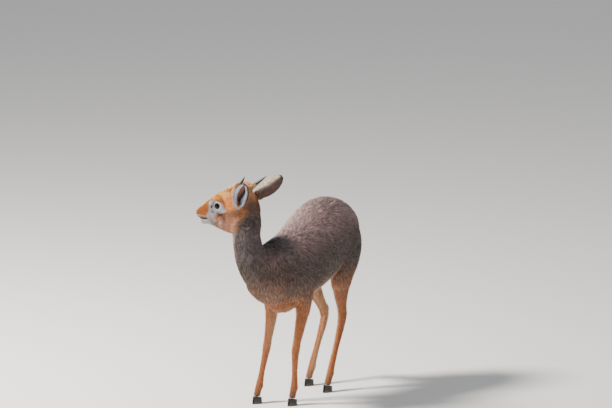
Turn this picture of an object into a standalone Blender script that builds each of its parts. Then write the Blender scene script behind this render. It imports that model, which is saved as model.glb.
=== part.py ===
"""A life-size standing dik-dik: a small antelope that looks over its right shoulder.

Metres, +Z up. The animal's chest faces -Y, its left side is +X, and its hooves stand on z = 0.
Lengths in the tables below are centimetres, which CM turns into metres. Their x = 0 is the spine,
and at the end the model moves so that the origin is below the middle of its whole outline.
"""
import math
import random

import bmesh
import bpy
import numpy as np
from mathutils import Matrix, Vector
from mathutils.bvhtree import BVHTree

CM = 0.01
GAP = 0.0003

# The head's own frame: forward, left and up, from a point midway between the ears.
HEAD_CENTRE = (-4.2, -17.2, 42.5)
HEAD_TURN_DEG = 94.0
HEAD_PITCH_DEG = -5.0
HEAD_ROLL_DEG = 7.0

# The flesh is made as one skin of this voxel size, and then thinned to these numbers of triangles.
FLESH_VOXEL = 0.0018
FLESH_SMOOTHING = 9
BODY_TRIANGLES = 5200
HEAD_TRIANGLES = 13000

# The eyes, in the head's frame. The opening is half its length and half its height.
EYE_RADIUS = 1.0
EYE_CENTRE = (5.0, 1.90, 0.30)
EYE_LOOK = (0.20, 0.97, 0.10)
LID_THICKNESS = 0.14
EYE_OPENING = (0.80, 0.58)
EYE_SLANT_DEG = 14.0
EYE_OPENING_REACH = (0.25, 1.9)
EYE_CORNER_POWER = 1.25

# The ears: length along the spine, width across the widest place, and thickness of the skin.
EAR_WIDTH = 3.2
EAR_SKIN = 0.17
EAR_ROOTS = {"left": (0.2, 2.45, -0.1), "right": (0.0, -2.4, 0.4)}
EAR_TIPS = {"left": (-3.7, 4.6, 5.65), "right": (-6.45, -5.5, 4.6)}
EAR_MOUTHS = {"left": (-0.10, 0.97, -0.20), "right": (0.35, -0.85, -0.30)}
EAR_BOW = 0.1
EAR_CUT_AT = 0.25

HORN_BASE_RADIUS = 0.60
HORN_TIP_RADIUS = 0.10
HORN_RINGS = 5
HORN_RING_RISE = 0.045
HORN_RINGED = (0.15, 0.62)
HORN_BEND = 0.28
HORN_SIDES = 10
HORN_ROOTS = {"left": (1.5, 1.5, 2.9), "right": (1.6, -1.6, 2.3)}
HORN_TIPS = {"left": (-2.45, 2.3, 6.65), "right": (-4.5, -2.7, 5.45)}

# The tuft between the horns: rows of locks from the front backward.
CREST_LOCKS = 30
CREST_COLUMNS = 5
CREST_FRONT = 4.3
CREST_ROW_STEP = 0.75
CREST_SPACING = 0.47
CREST_LENGTH = 2.2
CREST_LOCK_WIDTH = 0.44
CREST_LOCK_THICKNESS = 0.16
CREST_ROOT_DEPTH = 0.45
CREST_BOW = 0.75
CREST_BOW_TURN = 0.62
CREST_RISE = 0.30
CREST_FAN = 0.22
CREST_SCATTER = (0.30, 0.15, 0.10)
CREST_SEED = 11

# The hooves: two claws to a foot, cut off along the sloping coronet.
CLAW_LENGTH = 2.5
CLAW_WIDTH = 0.86
CLAW_PARTING = 0.09
CLAW_HEEL = 1.05
CLAW_TOE_SLOPE = 0.20
CLAW_SIDE_SLOPE = 0.06
CLAW_HEEL_SLOPE = 0.05
CLAW_INNER_BOW = 0.10
CLAW_LEAST_WIDTH = 0.18
CLAW_STEPS = 7
CORONET_Z = 1.45
CORONET_SLOPE = 0.22

COAT_BACK = (0.26, 0.22, 0.19)
COAT_TAWNY = (0.50, 0.27, 0.12)
COAT_NECK = (0.30, 0.25, 0.22)
EAR_GREY = (0.40, 0.34, 0.30)
HORN_BLACK = (0.03, 0.028, 0.026)
EYE_BLACK = (0.012, 0.01, 0.01)


def clear_scene():
    for obj in list(bpy.data.objects):
        bpy.data.objects.remove(obj)


def head_axes():
    """Forward, left and up of the head as unit vectors."""
    turn = math.radians(HEAD_TURN_DEG)
    pitch = math.radians(HEAD_PITCH_DEG)
    roll = math.radians(HEAD_ROLL_DEG)
    level = Vector((-math.sin(turn), -math.cos(turn), 0))
    forward = level * math.cos(pitch) + Vector((0, 0, math.sin(pitch)))
    left = Vector((0, 0, 1)).cross(level)
    up = forward.cross(left)
    return forward, left * math.cos(roll) - up * math.sin(roll), up * math.cos(roll) + left * math.sin(roll)


def in_head(point):
    """A point of the head's frame, in the animal's frame, both in centimetres."""
    forward, left, up = head_axes()
    return Vector(HEAD_CENTRE) + forward * point[0] + left * point[1] + up * point[2]


def head_direction(direction):
    forward, left, up = head_axes()
    return (forward * direction[0] + left * direction[1] + up * direction[2]).normalized()


def smooth_table(rows, steps):
    """Rows of numbers, joined by a Catmull-Rom curve with this many steps between rows."""
    rows = np.array(rows, float)
    padded = np.vstack([2 * rows[0] - rows[1], rows, 2 * rows[-1] - rows[-2]])
    made = []
    for i in range(1, len(padded) - 2):
        before, here, there, after = padded[i - 1 : i + 3]
        for k in range(steps):
            t = k / steps
            straight = 2 * here + (there - before) * t
            bend = (2 * before - 5 * here + 4 * there - after) * t**2
            twist = (3 * here - before - 3 * there + after) * t**3
            made.append(0.5 * (straight + bend + twist))
    made.append(rows[-1])
    return np.array(made)


def mesh_object(name, points, faces):
    """A closed mesh whose faces are turned outward."""
    mesh = bpy.data.meshes.new(name)
    mesh.from_pydata([tuple(p) for p in points], [], faces)
    work = bmesh.new()
    work.from_mesh(mesh)
    bmesh.ops.recalc_face_normals(work, faces=work.faces)
    work.to_mesh(mesh)
    work.free()
    return linked(name, mesh)


def linked(name, mesh):
    obj = bpy.data.objects.new(name, mesh)
    bpy.context.scene.collection.objects.link(obj)
    return obj


def tube_faces(rings, sides):
    """Faces of a tube of rings of points, with both ends filled."""
    faces = []
    for i in range(rings - 1):
        for k in range(sides):
            a, b = i * sides + k, i * sides + (k + 1) % sides
            faces.append((a, b, b + sides, a + sides))
    faces.append(tuple(range(sides)))
    faces.append(tuple(range((rings - 1) * sides, rings * sides)))
    return faces


def loft(name, stations, fore, sides=20, steps=3, squareness=2.0, taper=0.0):
    """A closed tube. A station is x, y, z, half width and half depth, and its depth runs along fore.

    fore is one direction, or one for each station. taper narrows the side that faces fore."""
    fores = fore if hasattr(fore[0], "__len__") else [fore] * len(stations)
    rows = smooth_table([list(s) + list(f) for s, f in zip(stations, fores)], steps)
    centres = [Vector(row[:3]) for row in rows]
    points = []
    for i, row in enumerate(rows):
        ahead = centres[min(i + 1, len(rows) - 1)] - centres[max(i - 1, 0)]
        tangent = ahead.normalized()
        side = Vector(row[5:8]).cross(tangent).normalized()
        depth = tangent.cross(side)
        for k in range(sides):
            c = math.cos(2 * math.pi * k / sides)
            s = math.sin(2 * math.pi * k / sides)
            across = math.copysign(abs(c) ** (2 / squareness), c) * row[3] * (1 - taper * s)
            along = math.copysign(abs(s) ** (2 / squareness), s) * row[4]
            points.append((centres[i] + side * across + depth * along) * CM)
    return mesh_object(name, points, tube_faces(len(rows), sides))


def ball(name, centre, radii, axes=None, segments=20, rings=12):
    """An ellipsoid. axes are three directions for its radii."""
    mesh = bpy.data.meshes.new(name)
    work = bmesh.new()
    bmesh.ops.create_uvsphere(work, u_segments=segments, v_segments=rings, radius=1.0)
    scale = Matrix.Diagonal([r * CM for r in radii]).to_4x4()
    turn = Matrix.Identity(4)
    if axes:
        turn = Matrix([[a[i] for a in axes] for i in range(3)]).to_4x4()
    if turn.determinant() < 0:
        turn.col[0] *= -1
    work.transform(Matrix.Translation(Vector(centre) * CM) @ turn @ scale)
    work.to_mesh(mesh)
    work.free()
    return linked(name, mesh)


def apply_modifiers(obj):
    graph = bpy.context.evaluated_depsgraph_get()
    made = bpy.data.meshes.new_from_object(obj.evaluated_get(graph))
    obj.modifiers.clear()
    obj.data = made
    return obj


def boolean(obj, others, operation, solver="EXACT"):
    """Unites obj with others, or cuts them from it, and removes them."""
    group = bpy.data.collections.new("tools")
    bpy.context.scene.collection.children.link(group)
    for other in others:
        bpy.context.scene.collection.objects.unlink(other)
        group.objects.link(other)
    step = obj.modifiers.new(operation.lower(), "BOOLEAN")
    step.operation = operation
    step.operand_type = "COLLECTION"
    step.collection = group
    step.solver = solver
    apply_modifiers(obj)
    for other in list(group.objects):
        bpy.data.objects.remove(other)
    bpy.data.collections.remove(group)
    return obj


def joined(name, pieces):
    """The pieces as one mesh of several closed shells."""
    work = bmesh.new()
    for piece in pieces:
        work.from_mesh(piece.data)
        bpy.data.objects.remove(piece)
    mesh = bpy.data.meshes.new(name)
    work.to_mesh(mesh)
    work.free()
    return linked(name, mesh)


def copy_of(obj, name):
    made = obj.copy()
    made.data = obj.data.copy()
    made.name = name
    bpy.context.scene.collection.objects.link(made)
    return made


def thinned(obj, triangles):
    """obj with about this many triangles."""
    work = bmesh.new()
    work.from_mesh(obj.data)
    bmesh.ops.triangulate(work, faces=work.faces)
    work.to_mesh(obj.data)
    work.free()
    step = obj.modifiers.new("thin", "DECIMATE")
    step.ratio = min(1.0, triangles / len(obj.data.polygons))
    return apply_modifiers(obj)


def shells(obj):
    """The closed shells of obj's mesh as lists of face numbers, largest first."""
    work = bmesh.new()
    work.from_mesh(obj.data)
    left = set(work.faces)
    found = []
    while left:
        stack = [left.pop()]
        shell = []
        while stack:
            face = stack.pop()
            shell.append(face.index)
            for edge in face.edges:
                for other in edge.link_faces:
                    if other in left:
                        left.remove(other)
                        stack.append(other)
        found.append(shell)
    work.free()
    return sorted(found, key=len, reverse=True)


def keep_faces(obj, kept):
    work = bmesh.new()
    work.from_mesh(obj.data)
    kept = set(kept)
    bmesh.ops.delete(work, geom=[f for f in work.faces if f.index not in kept], context="FACES")
    work.to_mesh(obj.data)
    work.free()
    return obj


def largest_shell(obj):
    return keep_faces(obj, shells(obj)[0])


def shell_nearest(obj, name, point):
    """A copy of the shell of obj whose middle is nearest to this point."""
    best = None
    for faces in shells(obj):
        if len(faces) < 12:
            continue
        middle = sum((obj.data.polygons[i].center for i in faces), Vector()) / len(faces)
        distance = (middle - Vector(point) * CM).length
        if best is None or distance < best[0]:
            best = (distance, faces)
    return keep_faces(copy_of(obj, name), best[1])


def slab(name, centre, normal, radius):
    """A thin round cut, square to normal."""
    mesh = bpy.data.meshes.new(name)
    work = bmesh.new()
    size = radius * CM
    bmesh.ops.create_cone(work, cap_ends=True, segments=24, radius1=size, radius2=size, depth=GAP)
    turn = Vector(normal).to_track_quat("Z", "Y").to_matrix().to_4x4()
    work.transform(Matrix.Translation(Vector(centre) * CM) @ turn)
    work.to_mesh(mesh)
    work.free()
    return linked(name, mesh)


def finish(obj, colour, roughness, smooth_deg=40):
    """A named material in the part's colour, and smooth shading up to an angle."""
    material = bpy.data.materials.new(obj.name)
    material.use_nodes = True
    shader = material.node_tree.nodes["Principled BSDF"]
    shader.inputs["Base Color"].default_value = (*colour, 1.0)
    shader.inputs["Roughness"].default_value = roughness
    shader.inputs["Metallic"].default_value = 0.0
    obj.data.materials.clear()
    obj.data.materials.append(material)
    obj.data.shade_smooth()
    obj.data.set_sharp_from_angle(angle=math.radians(smooth_deg))
    return obj


# The trunk: back, chest, belly and rump. A row is y, top, bottom and half width.
TRUNK = (
    (-20.0, 28.4, 25.6, 1.3),
    (-19.0, 30.3, 23.8, 2.6),
    (-16.6, 32.8, 21.9, 4.0),
    (-13.0, 34.6, 20.9, 4.9),
    (-9.5, 35.1, 20.6, 5.5),
    (-5.5, 35.7, 20.9, 6.2),
    (-1.0, 36.9, 21.9, 6.7),
    (3.5, 39.0, 23.3, 6.8),
    (7.5, 40.5, 25.0, 6.7),
    (11.0, 40.5, 27.0, 6.3),
    (14.0, 39.3, 28.8, 5.6),
    (16.5, 37.2, 30.0, 4.5),
    (18.4, 34.8, 30.9, 2.5),
)


def trunk():
    stations = [(0, y, (top + low) / 2, wide, (top - low) / 2) for y, top, low, wide in TRUNK]
    return loft("trunk", stations, fore=(0, 0, 1), sides=48, steps=4, squareness=2.1, taper=0.16)


# The neck rises from the chest and turns with the head. A row is x, y, z, half width and half depth.
NECK = (
    (0.0, -11.5, 27.3, 4.0, 5.6),
    (-0.7, -16.3, 28.6, 3.6, 4.6),
    (-2.0, -18.5, 31.5, 2.85, 3.5),
    (-3.1, -18.5, 34.8, 2.5, 2.9),
    (-3.8, -17.8, 38.0, 2.5, 2.9),
    (-4.2, -17.3, 40.6, 2.2, 2.4),
)
BREAST_CENTRE = (-0.3, -15.2, 27.0)
BREAST_RADII = (4.3, 5.0, 4.6)
BRISKET_CENTRE = (0.2, -9.8, 21.4)
BRISKET_RADII = (3.2, 3.4, 2.4)
NECK_FORES = (
    (0.0, -0.5, -0.9),
    (-0.15, -0.8, -0.6),
    (-0.5, -0.85, -0.2),
    (-0.8, -0.55, 0.0),
    (-1.0, -0.15, 0.0),
    (-1.0, 0.0, 0.0),
)

# The skull and muzzle in the head's frame. A row is forward, top, bottom and half width.
SKULL = (
    (-2.8, 1.3, -2.0, 1.0),
    (-2.1, 2.7, -3.6, 1.95),
    (-0.7, 3.8, -5.0, 2.75),
    (1.2, 4.1, -6.1, 3.05),
    (3.2, 3.8, -6.35, 2.95),
    (5.0, 3.1, -6.0, 2.6),
    (6.6, 2.25, -5.4, 2.15),
    (8.2, 1.35, -4.7, 1.75),
    (9.7, 0.5, -4.15, 1.4),
    (10.9, -0.2, -3.3, 1.12),
    (12.0, -1.1, -2.6, 0.72),
)


def skull():
    stations = []
    for forward, top, low, wide in SKULL:
        middle = in_head((forward, 0, (top + low) / 2))
        stations.append((*middle, wide, (top - low) / 2))
    up = head_axes()[2]
    return loft("skull", stations, fore=tuple(up), sides=24, steps=3, squareness=2.1)


def head_swellings():
    """Cheeks, brows, the soft nose and the chin, as ellipsoids of the head's frame."""
    rows = (
        ("cheek_left", (2.4, 1.15, -3.0), (3.3, 1.6, 2.75)),
        ("cheek_right", (2.4, -1.15, -3.0), (3.3, 1.6, 2.75)),
        ("throat", (-0.1, 0.0, -4.8), (2.7, 2.2, 2.2)),
        ("nape", (-1.3, 0.0, -2.8), (1.8, 1.8, 2.5)),
        ("brow_left", (4.5, 1.6, 1.6), (2.2, 0.95, 0.68)),
        ("brow_right", (4.5, -1.6, 1.6), (2.2, 0.95, 0.68)),
        ("soft_nose", (10.95, 0.0, -1.6), (1.45, 1.05, 0.95)),
        ("lip_left", (10.3, 0.6, -1.95), (1.3, 0.62, 0.6)),
        ("lip_right", (10.3, -0.6, -1.95), (1.3, 0.62, 0.6)),
        ("chin", (10.4, 0.0, -3.38), (1.25, 0.92, 0.86)),
        ("ear_stump_left", (0.2, 2.2, -0.5), (1.2, 1.0, 1.1)),
        ("ear_stump_right", (0.0, -2.2, 0.0), (1.2, 1.0, 1.1)),
    )
    axes = head_axes()
    return [ball(name, in_head(at), radii, axes) for name, at, radii in rows]


# Each leg as x, y, z, half width and half depth, from inside the trunk to the hoof.
FORELEG_LEFT = (
    (3.0, -9.6, 30.4, 1.6, 3.4),
    (4.1, -9.0, 27.0, 2.0, 3.7),
    (4.0, -7.3, 23.2, 1.75, 2.9),
    (3.75, -6.8, 20.4, 1.45, 2.05),
    (3.45, -7.6, 16.5, 1.15, 1.45),
    (3.15, -8.6, 12.9, 0.92, 1.05),
    (3.1, -9.0, 11.4, 0.98, 1.1),
    (3.05, -9.2, 9.9, 0.78, 0.88),
    (3.0, -9.3, 6.6, 0.62, 0.74),
    (3.0, -9.4, 4.4, 0.74, 0.86),
    (3.0, -9.6, 3.5, 0.8, 0.92),
    (3.0, -10.2, 2.2, 0.72, 0.86),
    (3.0, -10.6, 1.0, 0.84, 1.0),
)
FORELEG_RIGHT = (
    (-3.0, -9.2, 30.4, 1.6, 3.4),
    (-4.1, -8.6, 27.0, 2.0, 3.7),
    (-4.0, -6.9, 23.2, 1.75, 2.9),
    (-3.75, -6.5, 20.4, 1.45, 2.05),
    (-3.65, -7.4, 16.5, 1.15, 1.45),
    (-3.7, -8.5, 12.9, 0.92, 1.05),
    (-3.75, -8.9, 11.4, 0.98, 1.1),
    (-3.85, -9.3, 9.9, 0.78, 0.88),
    (-4.15, -10.2, 6.6, 0.62, 0.74),
    (-4.3, -10.8, 4.4, 0.74, 0.86),
    (-4.35, -11.1, 3.5, 0.8, 0.92),
    (-4.4, -11.8, 2.2, 0.72, 0.86),
    (-4.4, -12.2, 1.0, 0.84, 1.0),
)
HINDLEG_LEFT = (
    (3.2, 12.2, 34.6, 2.4, 4.2),
    (3.9, 11.4, 31.0, 2.8, 5.3),
    (4.3, 9.9, 27.0, 2.5, 4.8),
    (4.3, 9.0, 23.6, 1.95, 3.4),
    (4.0, 9.4, 20.0, 1.4, 2.1),
    (3.7, 10.3, 17.2, 1.0, 1.42),
    (3.5, 10.9, 15.0, 0.98, 1.35),
    (3.4, 10.5, 13.2, 0.85, 1.08),
    (3.25, 8.6, 9.0, 0.68, 0.8),
    (3.15, 6.7, 5.0, 0.75, 0.88),
    (3.15, 6.1, 3.7, 0.82, 0.94),
    (3.15, 5.3, 2.3, 0.74, 0.88),
    (3.15, 4.7, 1.0, 0.86, 1.02),
)
HINDLEG_RIGHT = (
    (-3.2, 12.6, 34.6, 2.4, 4.2),
    (-3.9, 12.2, 31.0, 2.8, 5.3),
    (-4.3, 11.2, 27.0, 2.5, 5.0),
    (-4.3, 11.2, 23.6, 1.95, 3.7),
    (-4.0, 12.6, 20.0, 1.4, 2.3),
    (-3.7, 14.8, 16.8, 1.02, 1.5),
    (-3.5, 16.2, 14.4, 0.98, 1.4),
    (-3.4, 15.7, 12.6, 0.85, 1.1),
    (-3.4, 13.2, 8.6, 0.68, 0.8),
    (-3.4, 11.0, 5.0, 0.75, 0.88),
    (-3.4, 10.3, 3.7, 0.82, 0.94),
    (-3.4, 9.4, 2.3, 0.74, 0.88),
    (-3.4, 8.8, 1.0, 0.86, 1.02),
)
LEGS = {
    "foreleg_left": FORELEG_LEFT,
    "foreleg_right": FORELEG_RIGHT,
    "hindleg_left": HINDLEG_LEFT,
    "hindleg_right": HINDLEG_RIGHT,
}
# The heights of each leg's cuts, from the trunk and below the carpus or hock, and their radii.
LEG_CUTS = {
    "foreleg_left": ((19.4, 3.0), (9.9, 1.9)),
    "foreleg_right": ((19.4, 3.0), (9.9, 1.9)),
    "hindleg_left": ((22.6, 4.3), (13.0, 2.4)),
    "hindleg_right": ((22.6, 4.6), (12.4, 2.4)),
}

# The short tail hangs from the rump. A row is x, y, z, half width and half depth.
TAIL = (
    (0.0, 16.4, 35.6, 1.3, 1.0),
    (0.0, 18.6, 35.2, 1.35, 1.0),
    (0.0, 20.1, 33.9, 1.2, 0.95),
    (0.0, 20.7, 32.1, 0.85, 0.72),
    (0.0, 20.7, 30.5, 0.30, 0.26),
)

# The cuts between tail, neck and head: a point, a normal and a radius. The last is of the head's frame.
TAIL_CUT = ((0.0, 19.2, 34.6), (0.0, 1.0, 0.0), 2.4)
NECK_CUT = ((-1.4, -15.4, 31.3), (-0.42, -0.45, 0.78), 8.0)
HEAD_CUT = ((0.2, 0.3, -4.5), (0.62, 0.0, 0.78), 5.8)


def leg_swellings(name):
    """The point of the elbow or hock, and the two dew claws."""
    rows = LEGS[name]
    made = []
    if name.startswith("hind"):
        x, y, z = rows[6][:3]
        made.append(ball(name + "_heel", (x, y + 1.25, z + 0.75), (0.55, 0.75, 1.15)))
    else:
        x, y, z = rows[3][:3]
        made.append(ball(name + "_elbow", (x, y + 1.5, z + 1.2), (0.8, 1.0, 1.3)))
    x, y, z = rows[10][:3]
    for side in (-1, 1):
        at = (x + side * 0.42, y + 0.95, z - 0.35)
        made.append(ball(f"{name}_dew_{side}", at, (0.28, 0.34, 0.42), segments=10, rings=6))
    return made


def flesh():
    """The whole body as one smooth skin."""
    pieces = [trunk(), loft("neck", NECK, NECK_FORES, sides=20, steps=4), skull()]
    pieces += head_swellings()
    pieces.append(ball("breast", BREAST_CENTRE, BREAST_RADII))
    pieces.append(ball("brisket", BRISKET_CENTRE, BRISKET_RADII))
    for name, rows in LEGS.items():
        pieces.append(loft(name, rows, fore=(0, -1, 0), sides=16))
        pieces += leg_swellings(name)
    pieces.append(loft("tail", TAIL, fore=(0, 1, 0.4), sides=14))
    body = joined("flesh", pieces)
    remesh = body.modifiers.new("skin", "REMESH")
    remesh.mode = "VOXEL"
    remesh.voxel_size = FLESH_VOXEL
    relax = body.modifiers.new("relax", "SMOOTH")
    relax.factor = 0.5
    relax.iterations = FLESH_SMOOTHING
    return apply_modifiers(body)


def at_height(rows, z):
    """The leg's centre and direction where it passes height z."""
    for upper, lower in zip(rows, rows[1:]):
        if upper[2] >= z >= lower[2]:
            t = (upper[2] - z) / (upper[2] - lower[2])
            along = Vector(lower[:3]) - Vector(upper[:3])
            return Vector(upper[:3]) + along * t, along.normalized()
    raise ValueError(f"the leg doesn't pass z = {z}")


def head_cut():
    at, normal, radius = HEAD_CUT
    return slab("cut_head", in_head(at), head_direction(normal), radius)


def coronet_block(name):
    """The block that cuts a foot's flesh off along its coronet."""
    x, y = LEGS[name][-1][:2]
    half, deep = 2.2, 3.0
    points = []
    for low in (True, False):
        for dx, dy in ((-1, -1), (1, -1), (1, 1), (-1, 1)):
            top = CORONET_Z - dy * half * CORONET_SLOPE
            points.append(Vector((x + dx * half, y + dy * half, top - deep if low else top)) * CM)
    faces = [(0, 1, 2, 3), (4, 5, 6, 7), (0, 1, 5, 4), (1, 2, 6, 5), (2, 3, 7, 6), (3, 0, 4, 7)]
    return mesh_object(f"coronet_{name}", points, faces)


def body_nodes(whole):
    """Torso, neck, tail and the two lengths of each leg, parted with thin cuts."""
    body = thinned(copy_of(whole, "body"), BODY_TRIANGLES)
    cuts = [slab("cut_tail", *TAIL_CUT), slab("cut_neck", *NECK_CUT), head_cut()]
    wanted = {
        "torso": (0, 2, 30),
        "neck": NECK[3][:3],
        "tail": TAIL[3][:3],
    }
    for name, heights in LEG_CUTS.items():
        rows = LEGS[name]
        for z, radius in heights:
            centre, along = at_height(rows, z)
            cuts.append(slab(f"cut_{name}", centre, along, radius))
        cuts.append(coronet_block(name))
        (upper, _), (lower, _) = heights
        wanted[name + "_upper"] = at_height(rows, (upper + lower) / 2)[0]
        wanted[name + "_lower"] = at_height(rows, (lower + CORONET_Z) / 2)[0]
    boolean(body, cuts, "DIFFERENCE")
    colours = {"torso": COAT_BACK, "neck": COAT_NECK, "tail": COAT_BACK}
    for name, point in wanted.items():
        finish(shell_nearest(body, name, point), colours.get(name, COAT_TAWNY), 0.85)
    bpy.data.objects.remove(body)


def surface_point(tree, start, direction):
    """Where a line from outside meets the skin, in centimetres."""
    hit = tree.ray_cast(Vector(start) * CM, Vector(direction).normalized())[0]
    return hit / CM


def tree_of(obj):
    return BVHTree.FromObject(obj, bpy.context.evaluated_depsgraph_get())


# The line of the mouth, from its left corner round the front: forward and up in the head's frame.
MOUTH_LINE = ((8.7, -2.72), (9.4, -2.78), (10.1, -2.78), (10.7, -2.72))
MOUTH_DEPTH = 0.45
MOUTH_HEIGHT = 0.13


def mouth_groove(head):
    """A thin ring of a tool that cuts the line between the lips."""
    tree = tree_of(head)
    sides = []
    for side in (1, -1):
        row = []
        for forward, up in MOUTH_LINE:
            start = in_head((forward, side * 6, up))
            row.append(surface_point(tree, start, head_direction((0, -side, 0))))
        sides.append(row)
    last_forward, last_up = MOUTH_LINE[-1]
    front = surface_point(tree, in_head((16, 0, last_up)), head_direction((-1, 0, 0)))
    path = sides[0] + [front] + sides[1][::-1]
    up = tuple(head_axes()[2])
    stations = []
    for i, point in enumerate(path):
        ends = i in (0, len(path) - 1)
        scale = 0.35 if ends else 1.0
        stations.append((*point, MOUTH_DEPTH * scale, MOUTH_HEIGHT * scale))
    return loft("mouth", stations, fore=up, sides=8, steps=3)


# The nostrils: half length, depth and half height of the slanted hole, and the line that finds its place.
NOSTRIL_RADII = (0.34, 0.26, 0.13)
NOSTRIL_START = (13.5, 3.2, -1.25)
NOSTRIL_AIM = (-0.65, -1.0, 0.0)
NOSTRIL_ALONG = (0.75, -0.35, 0.45)
NOSTRIL_OUT = (0.45, 1.0, 0.0)


def sided(numbers, side):
    """The same place or direction on the animal's left (1) or right (-1)."""
    return numbers[0], numbers[1] * side, numbers[2]


def nostril(head, side):
    """A slanted comma-shaped hole beside the tip of the nose."""
    start = in_head(sided(NOSTRIL_START, side))
    at = surface_point(tree_of(head), start, head_direction(sided(NOSTRIL_AIM, side)))
    along = head_direction(sided(NOSTRIL_ALONG, side))
    over = along.cross(head_direction(sided(NOSTRIL_OUT, side))).normalized()
    return ball(f"nostril_{side}", at, NOSTRIL_RADII, (along, over.cross(along), over), 12, 8)


def eye_axes(side):
    """Along the lids, up across them, and outward."""
    look = head_direction(sided(EYE_LOOK, side))
    slant = math.radians(EYE_SLANT_DEG)
    level = head_direction((1, 0, 0))
    along = (level - look * level.dot(look)).normalized()
    up = look.cross(along) * (1 if look.cross(along).dot(head_axes()[2]) > 0 else -1)
    return along * math.cos(slant) - up * math.sin(slant), up * math.cos(slant) + along * math.sin(slant), look


def eye_opening(side):
    """The almond-shaped space between the lids, from the eye outward."""
    along, up, look = eye_axes(side)
    centre = in_head(sided(EYE_CENTRE, side))
    half, high = EYE_OPENING
    count = 16
    points = []
    for reach in EYE_OPENING_REACH:
        for k in range(count):
            angle = 2 * math.pi * k / count
            across = math.sin(angle)
            height = high * math.copysign(abs(across) ** EYE_CORNER_POWER, across)
            points.append((centre + along * half * math.cos(angle) + up * height + look * reach) * CM)
    return mesh_object(f"opening_{side}", points, tube_faces(2, count))


def eye_ball(name, side, radius):
    return ball(name, in_head(sided(EYE_CENTRE, side)), (radius,) * 3, eye_axes(side), segments=20, rings=14)


def horn(name, key, extra=0.0):
    """A ringed, slightly bent spike. extra widens it, for its socket."""
    root, tip = Vector(HORN_ROOTS[key]), Vector(HORN_TIPS[key])
    stations = []
    count = 2 * HORN_RINGS + 8
    for i in range(count + 1):
        t = i / count
        point = root.lerp(tip, t) - Vector((0, 0, HORN_BEND)) * math.sin(math.pi * t)
        radius = HORN_BASE_RADIUS * (1 - t) ** 0.85 + HORN_TIP_RADIUS
        if i % 2 and HORN_RINGED[0] < t < HORN_RINGED[1]:
            radius += HORN_RING_RISE
        stations.append((*in_head(point), radius + extra, radius + extra))
    return loft(name, stations, fore=tuple(head_axes()[1]), sides=HORN_SIDES, steps=1)


# The ear's outline along its length: place, half width over the full half width, and how far it is rolled.
EAR_PROFILE = (
    (0.00, 0.30, 150),
    (0.12, 0.46, 145),
    (0.26, 0.72, 128),
    (0.42, 0.95, 108),
    (0.58, 1.00, 92),
    (0.74, 0.93, 82),
    (0.88, 0.70, 74),
    (0.97, 0.36, 66),
)
EAR_STEPS = 9


def ear_frame(key):
    """The ear's root, its tip, and unit vectors along it, out of its mouth and across it."""
    root, tip = in_head(EAR_ROOTS[key]), in_head(EAR_TIPS[key])
    axis = (tip - root).normalized()
    mouth = head_direction(EAR_MOUTHS[key])
    mouth = (mouth - axis * mouth.dot(axis)).normalized()
    return root, tip, axis, mouth, axis.cross(mouth)


def ear_ring(key, place, wide, roll_deg):
    """The middle and radius of the round that the ear's skin follows at this place."""
    root, tip, _, mouth, _ = ear_frame(key)
    radius = wide * EAR_WIDTH / 2 / math.sin(min(math.radians(roll_deg), math.pi / 2))
    return root.lerp(tip, place) + mouth * (0.55 * radius - EAR_BOW * math.sin(math.pi * place)), radius


def ear(name, key):
    """A leaf-shaped cup of even thickness, rolled almost shut at its root."""
    mouth, across = ear_frame(key)[3:]
    rows = smooth_table(EAR_PROFILE, 2)
    points = []
    for place, wide, roll_deg in rows:
        middle, radius = ear_ring(key, place, wide, roll_deg)
        skin = min(EAR_SKIN, radius * 0.6)
        outer, inner = [], []
        for k in range(EAR_STEPS):
            angle = math.radians(roll_deg) * (2 * k / (EAR_STEPS - 1) - 1)
            spoke = across * math.sin(angle) - mouth * math.cos(angle)
            outer.append((middle + spoke * radius) * CM)
            inner.append((middle + spoke * (radius - skin)) * CM)
        points += outer + inner[::-1]
    return mesh_object(name, points, tube_faces(len(rows), 2 * EAR_STEPS))


def ear_root(key):
    """The closed foot that holds the ear's cup and sinks into the head."""
    root, _, axis, mouth, across = ear_frame(key)
    return ball(f"ear_root_{key}", root, (0.85, 0.72, 0.72), (axis, mouth, across))


def ear_cut(key):
    """The thin cut between the ear's cup and its foot."""
    places, widths, rolls = zip(*EAR_PROFILE)
    wide, roll_deg = np.interp(EAR_CUT_AT, places, widths), np.interp(EAR_CUT_AT, places, rolls)
    middle, radius = ear_ring(key, EAR_CUT_AT, wide, roll_deg)
    return slab(f"cut_ear_{key}", middle, ear_frame(key)[2], radius + 0.15)


def crest_locks():
    """Flat tapered locks that grow between the horns, overlap and lean back."""
    draw = random.Random(CREST_SEED)
    along_scatter, across_scatter, lean_scatter = CREST_SCATTER
    made = []
    for i in range(CREST_LOCKS):
        row, column = divmod(i, CREST_COLUMNS)
        off = (column - (CREST_COLUMNS - 1) / 2) + 0.5 * (row % 2) - 0.25
        forward = CREST_FRONT - CREST_ROW_STEP * row + draw.uniform(-along_scatter, along_scatter)
        left = off * CREST_SPACING + draw.uniform(-across_scatter, across_scatter)
        long = CREST_LENGTH * draw.uniform(0.85, 1.15)
        root = Vector((forward, left, scalp_height(forward) - CREST_ROOT_DEPTH))
        aside = left * CREST_FAN + draw.uniform(-lean_scatter, lean_scatter)
        lean = Vector((-1.0, aside, CREST_RISE)).normalized()
        stations = []
        for k in range(5):
            t = k / 4
            bow = CREST_BOW * math.sin(math.pi * CREST_BOW_TURN * t)
            place = root + lean * long * t + Vector((0, 0, bow))
            wide = CREST_LOCK_WIDTH * (0.75 + 0.5 * t) * (1 - t**2) + 0.04
            stations.append((*in_head(place), wide, CREST_LOCK_THICKNESS * (1 - 0.65 * t)))
        made.append(loft(f"lock_{i}", stations, fore=tuple(head_axes()[2]), sides=5, steps=1))
    return made


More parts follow.
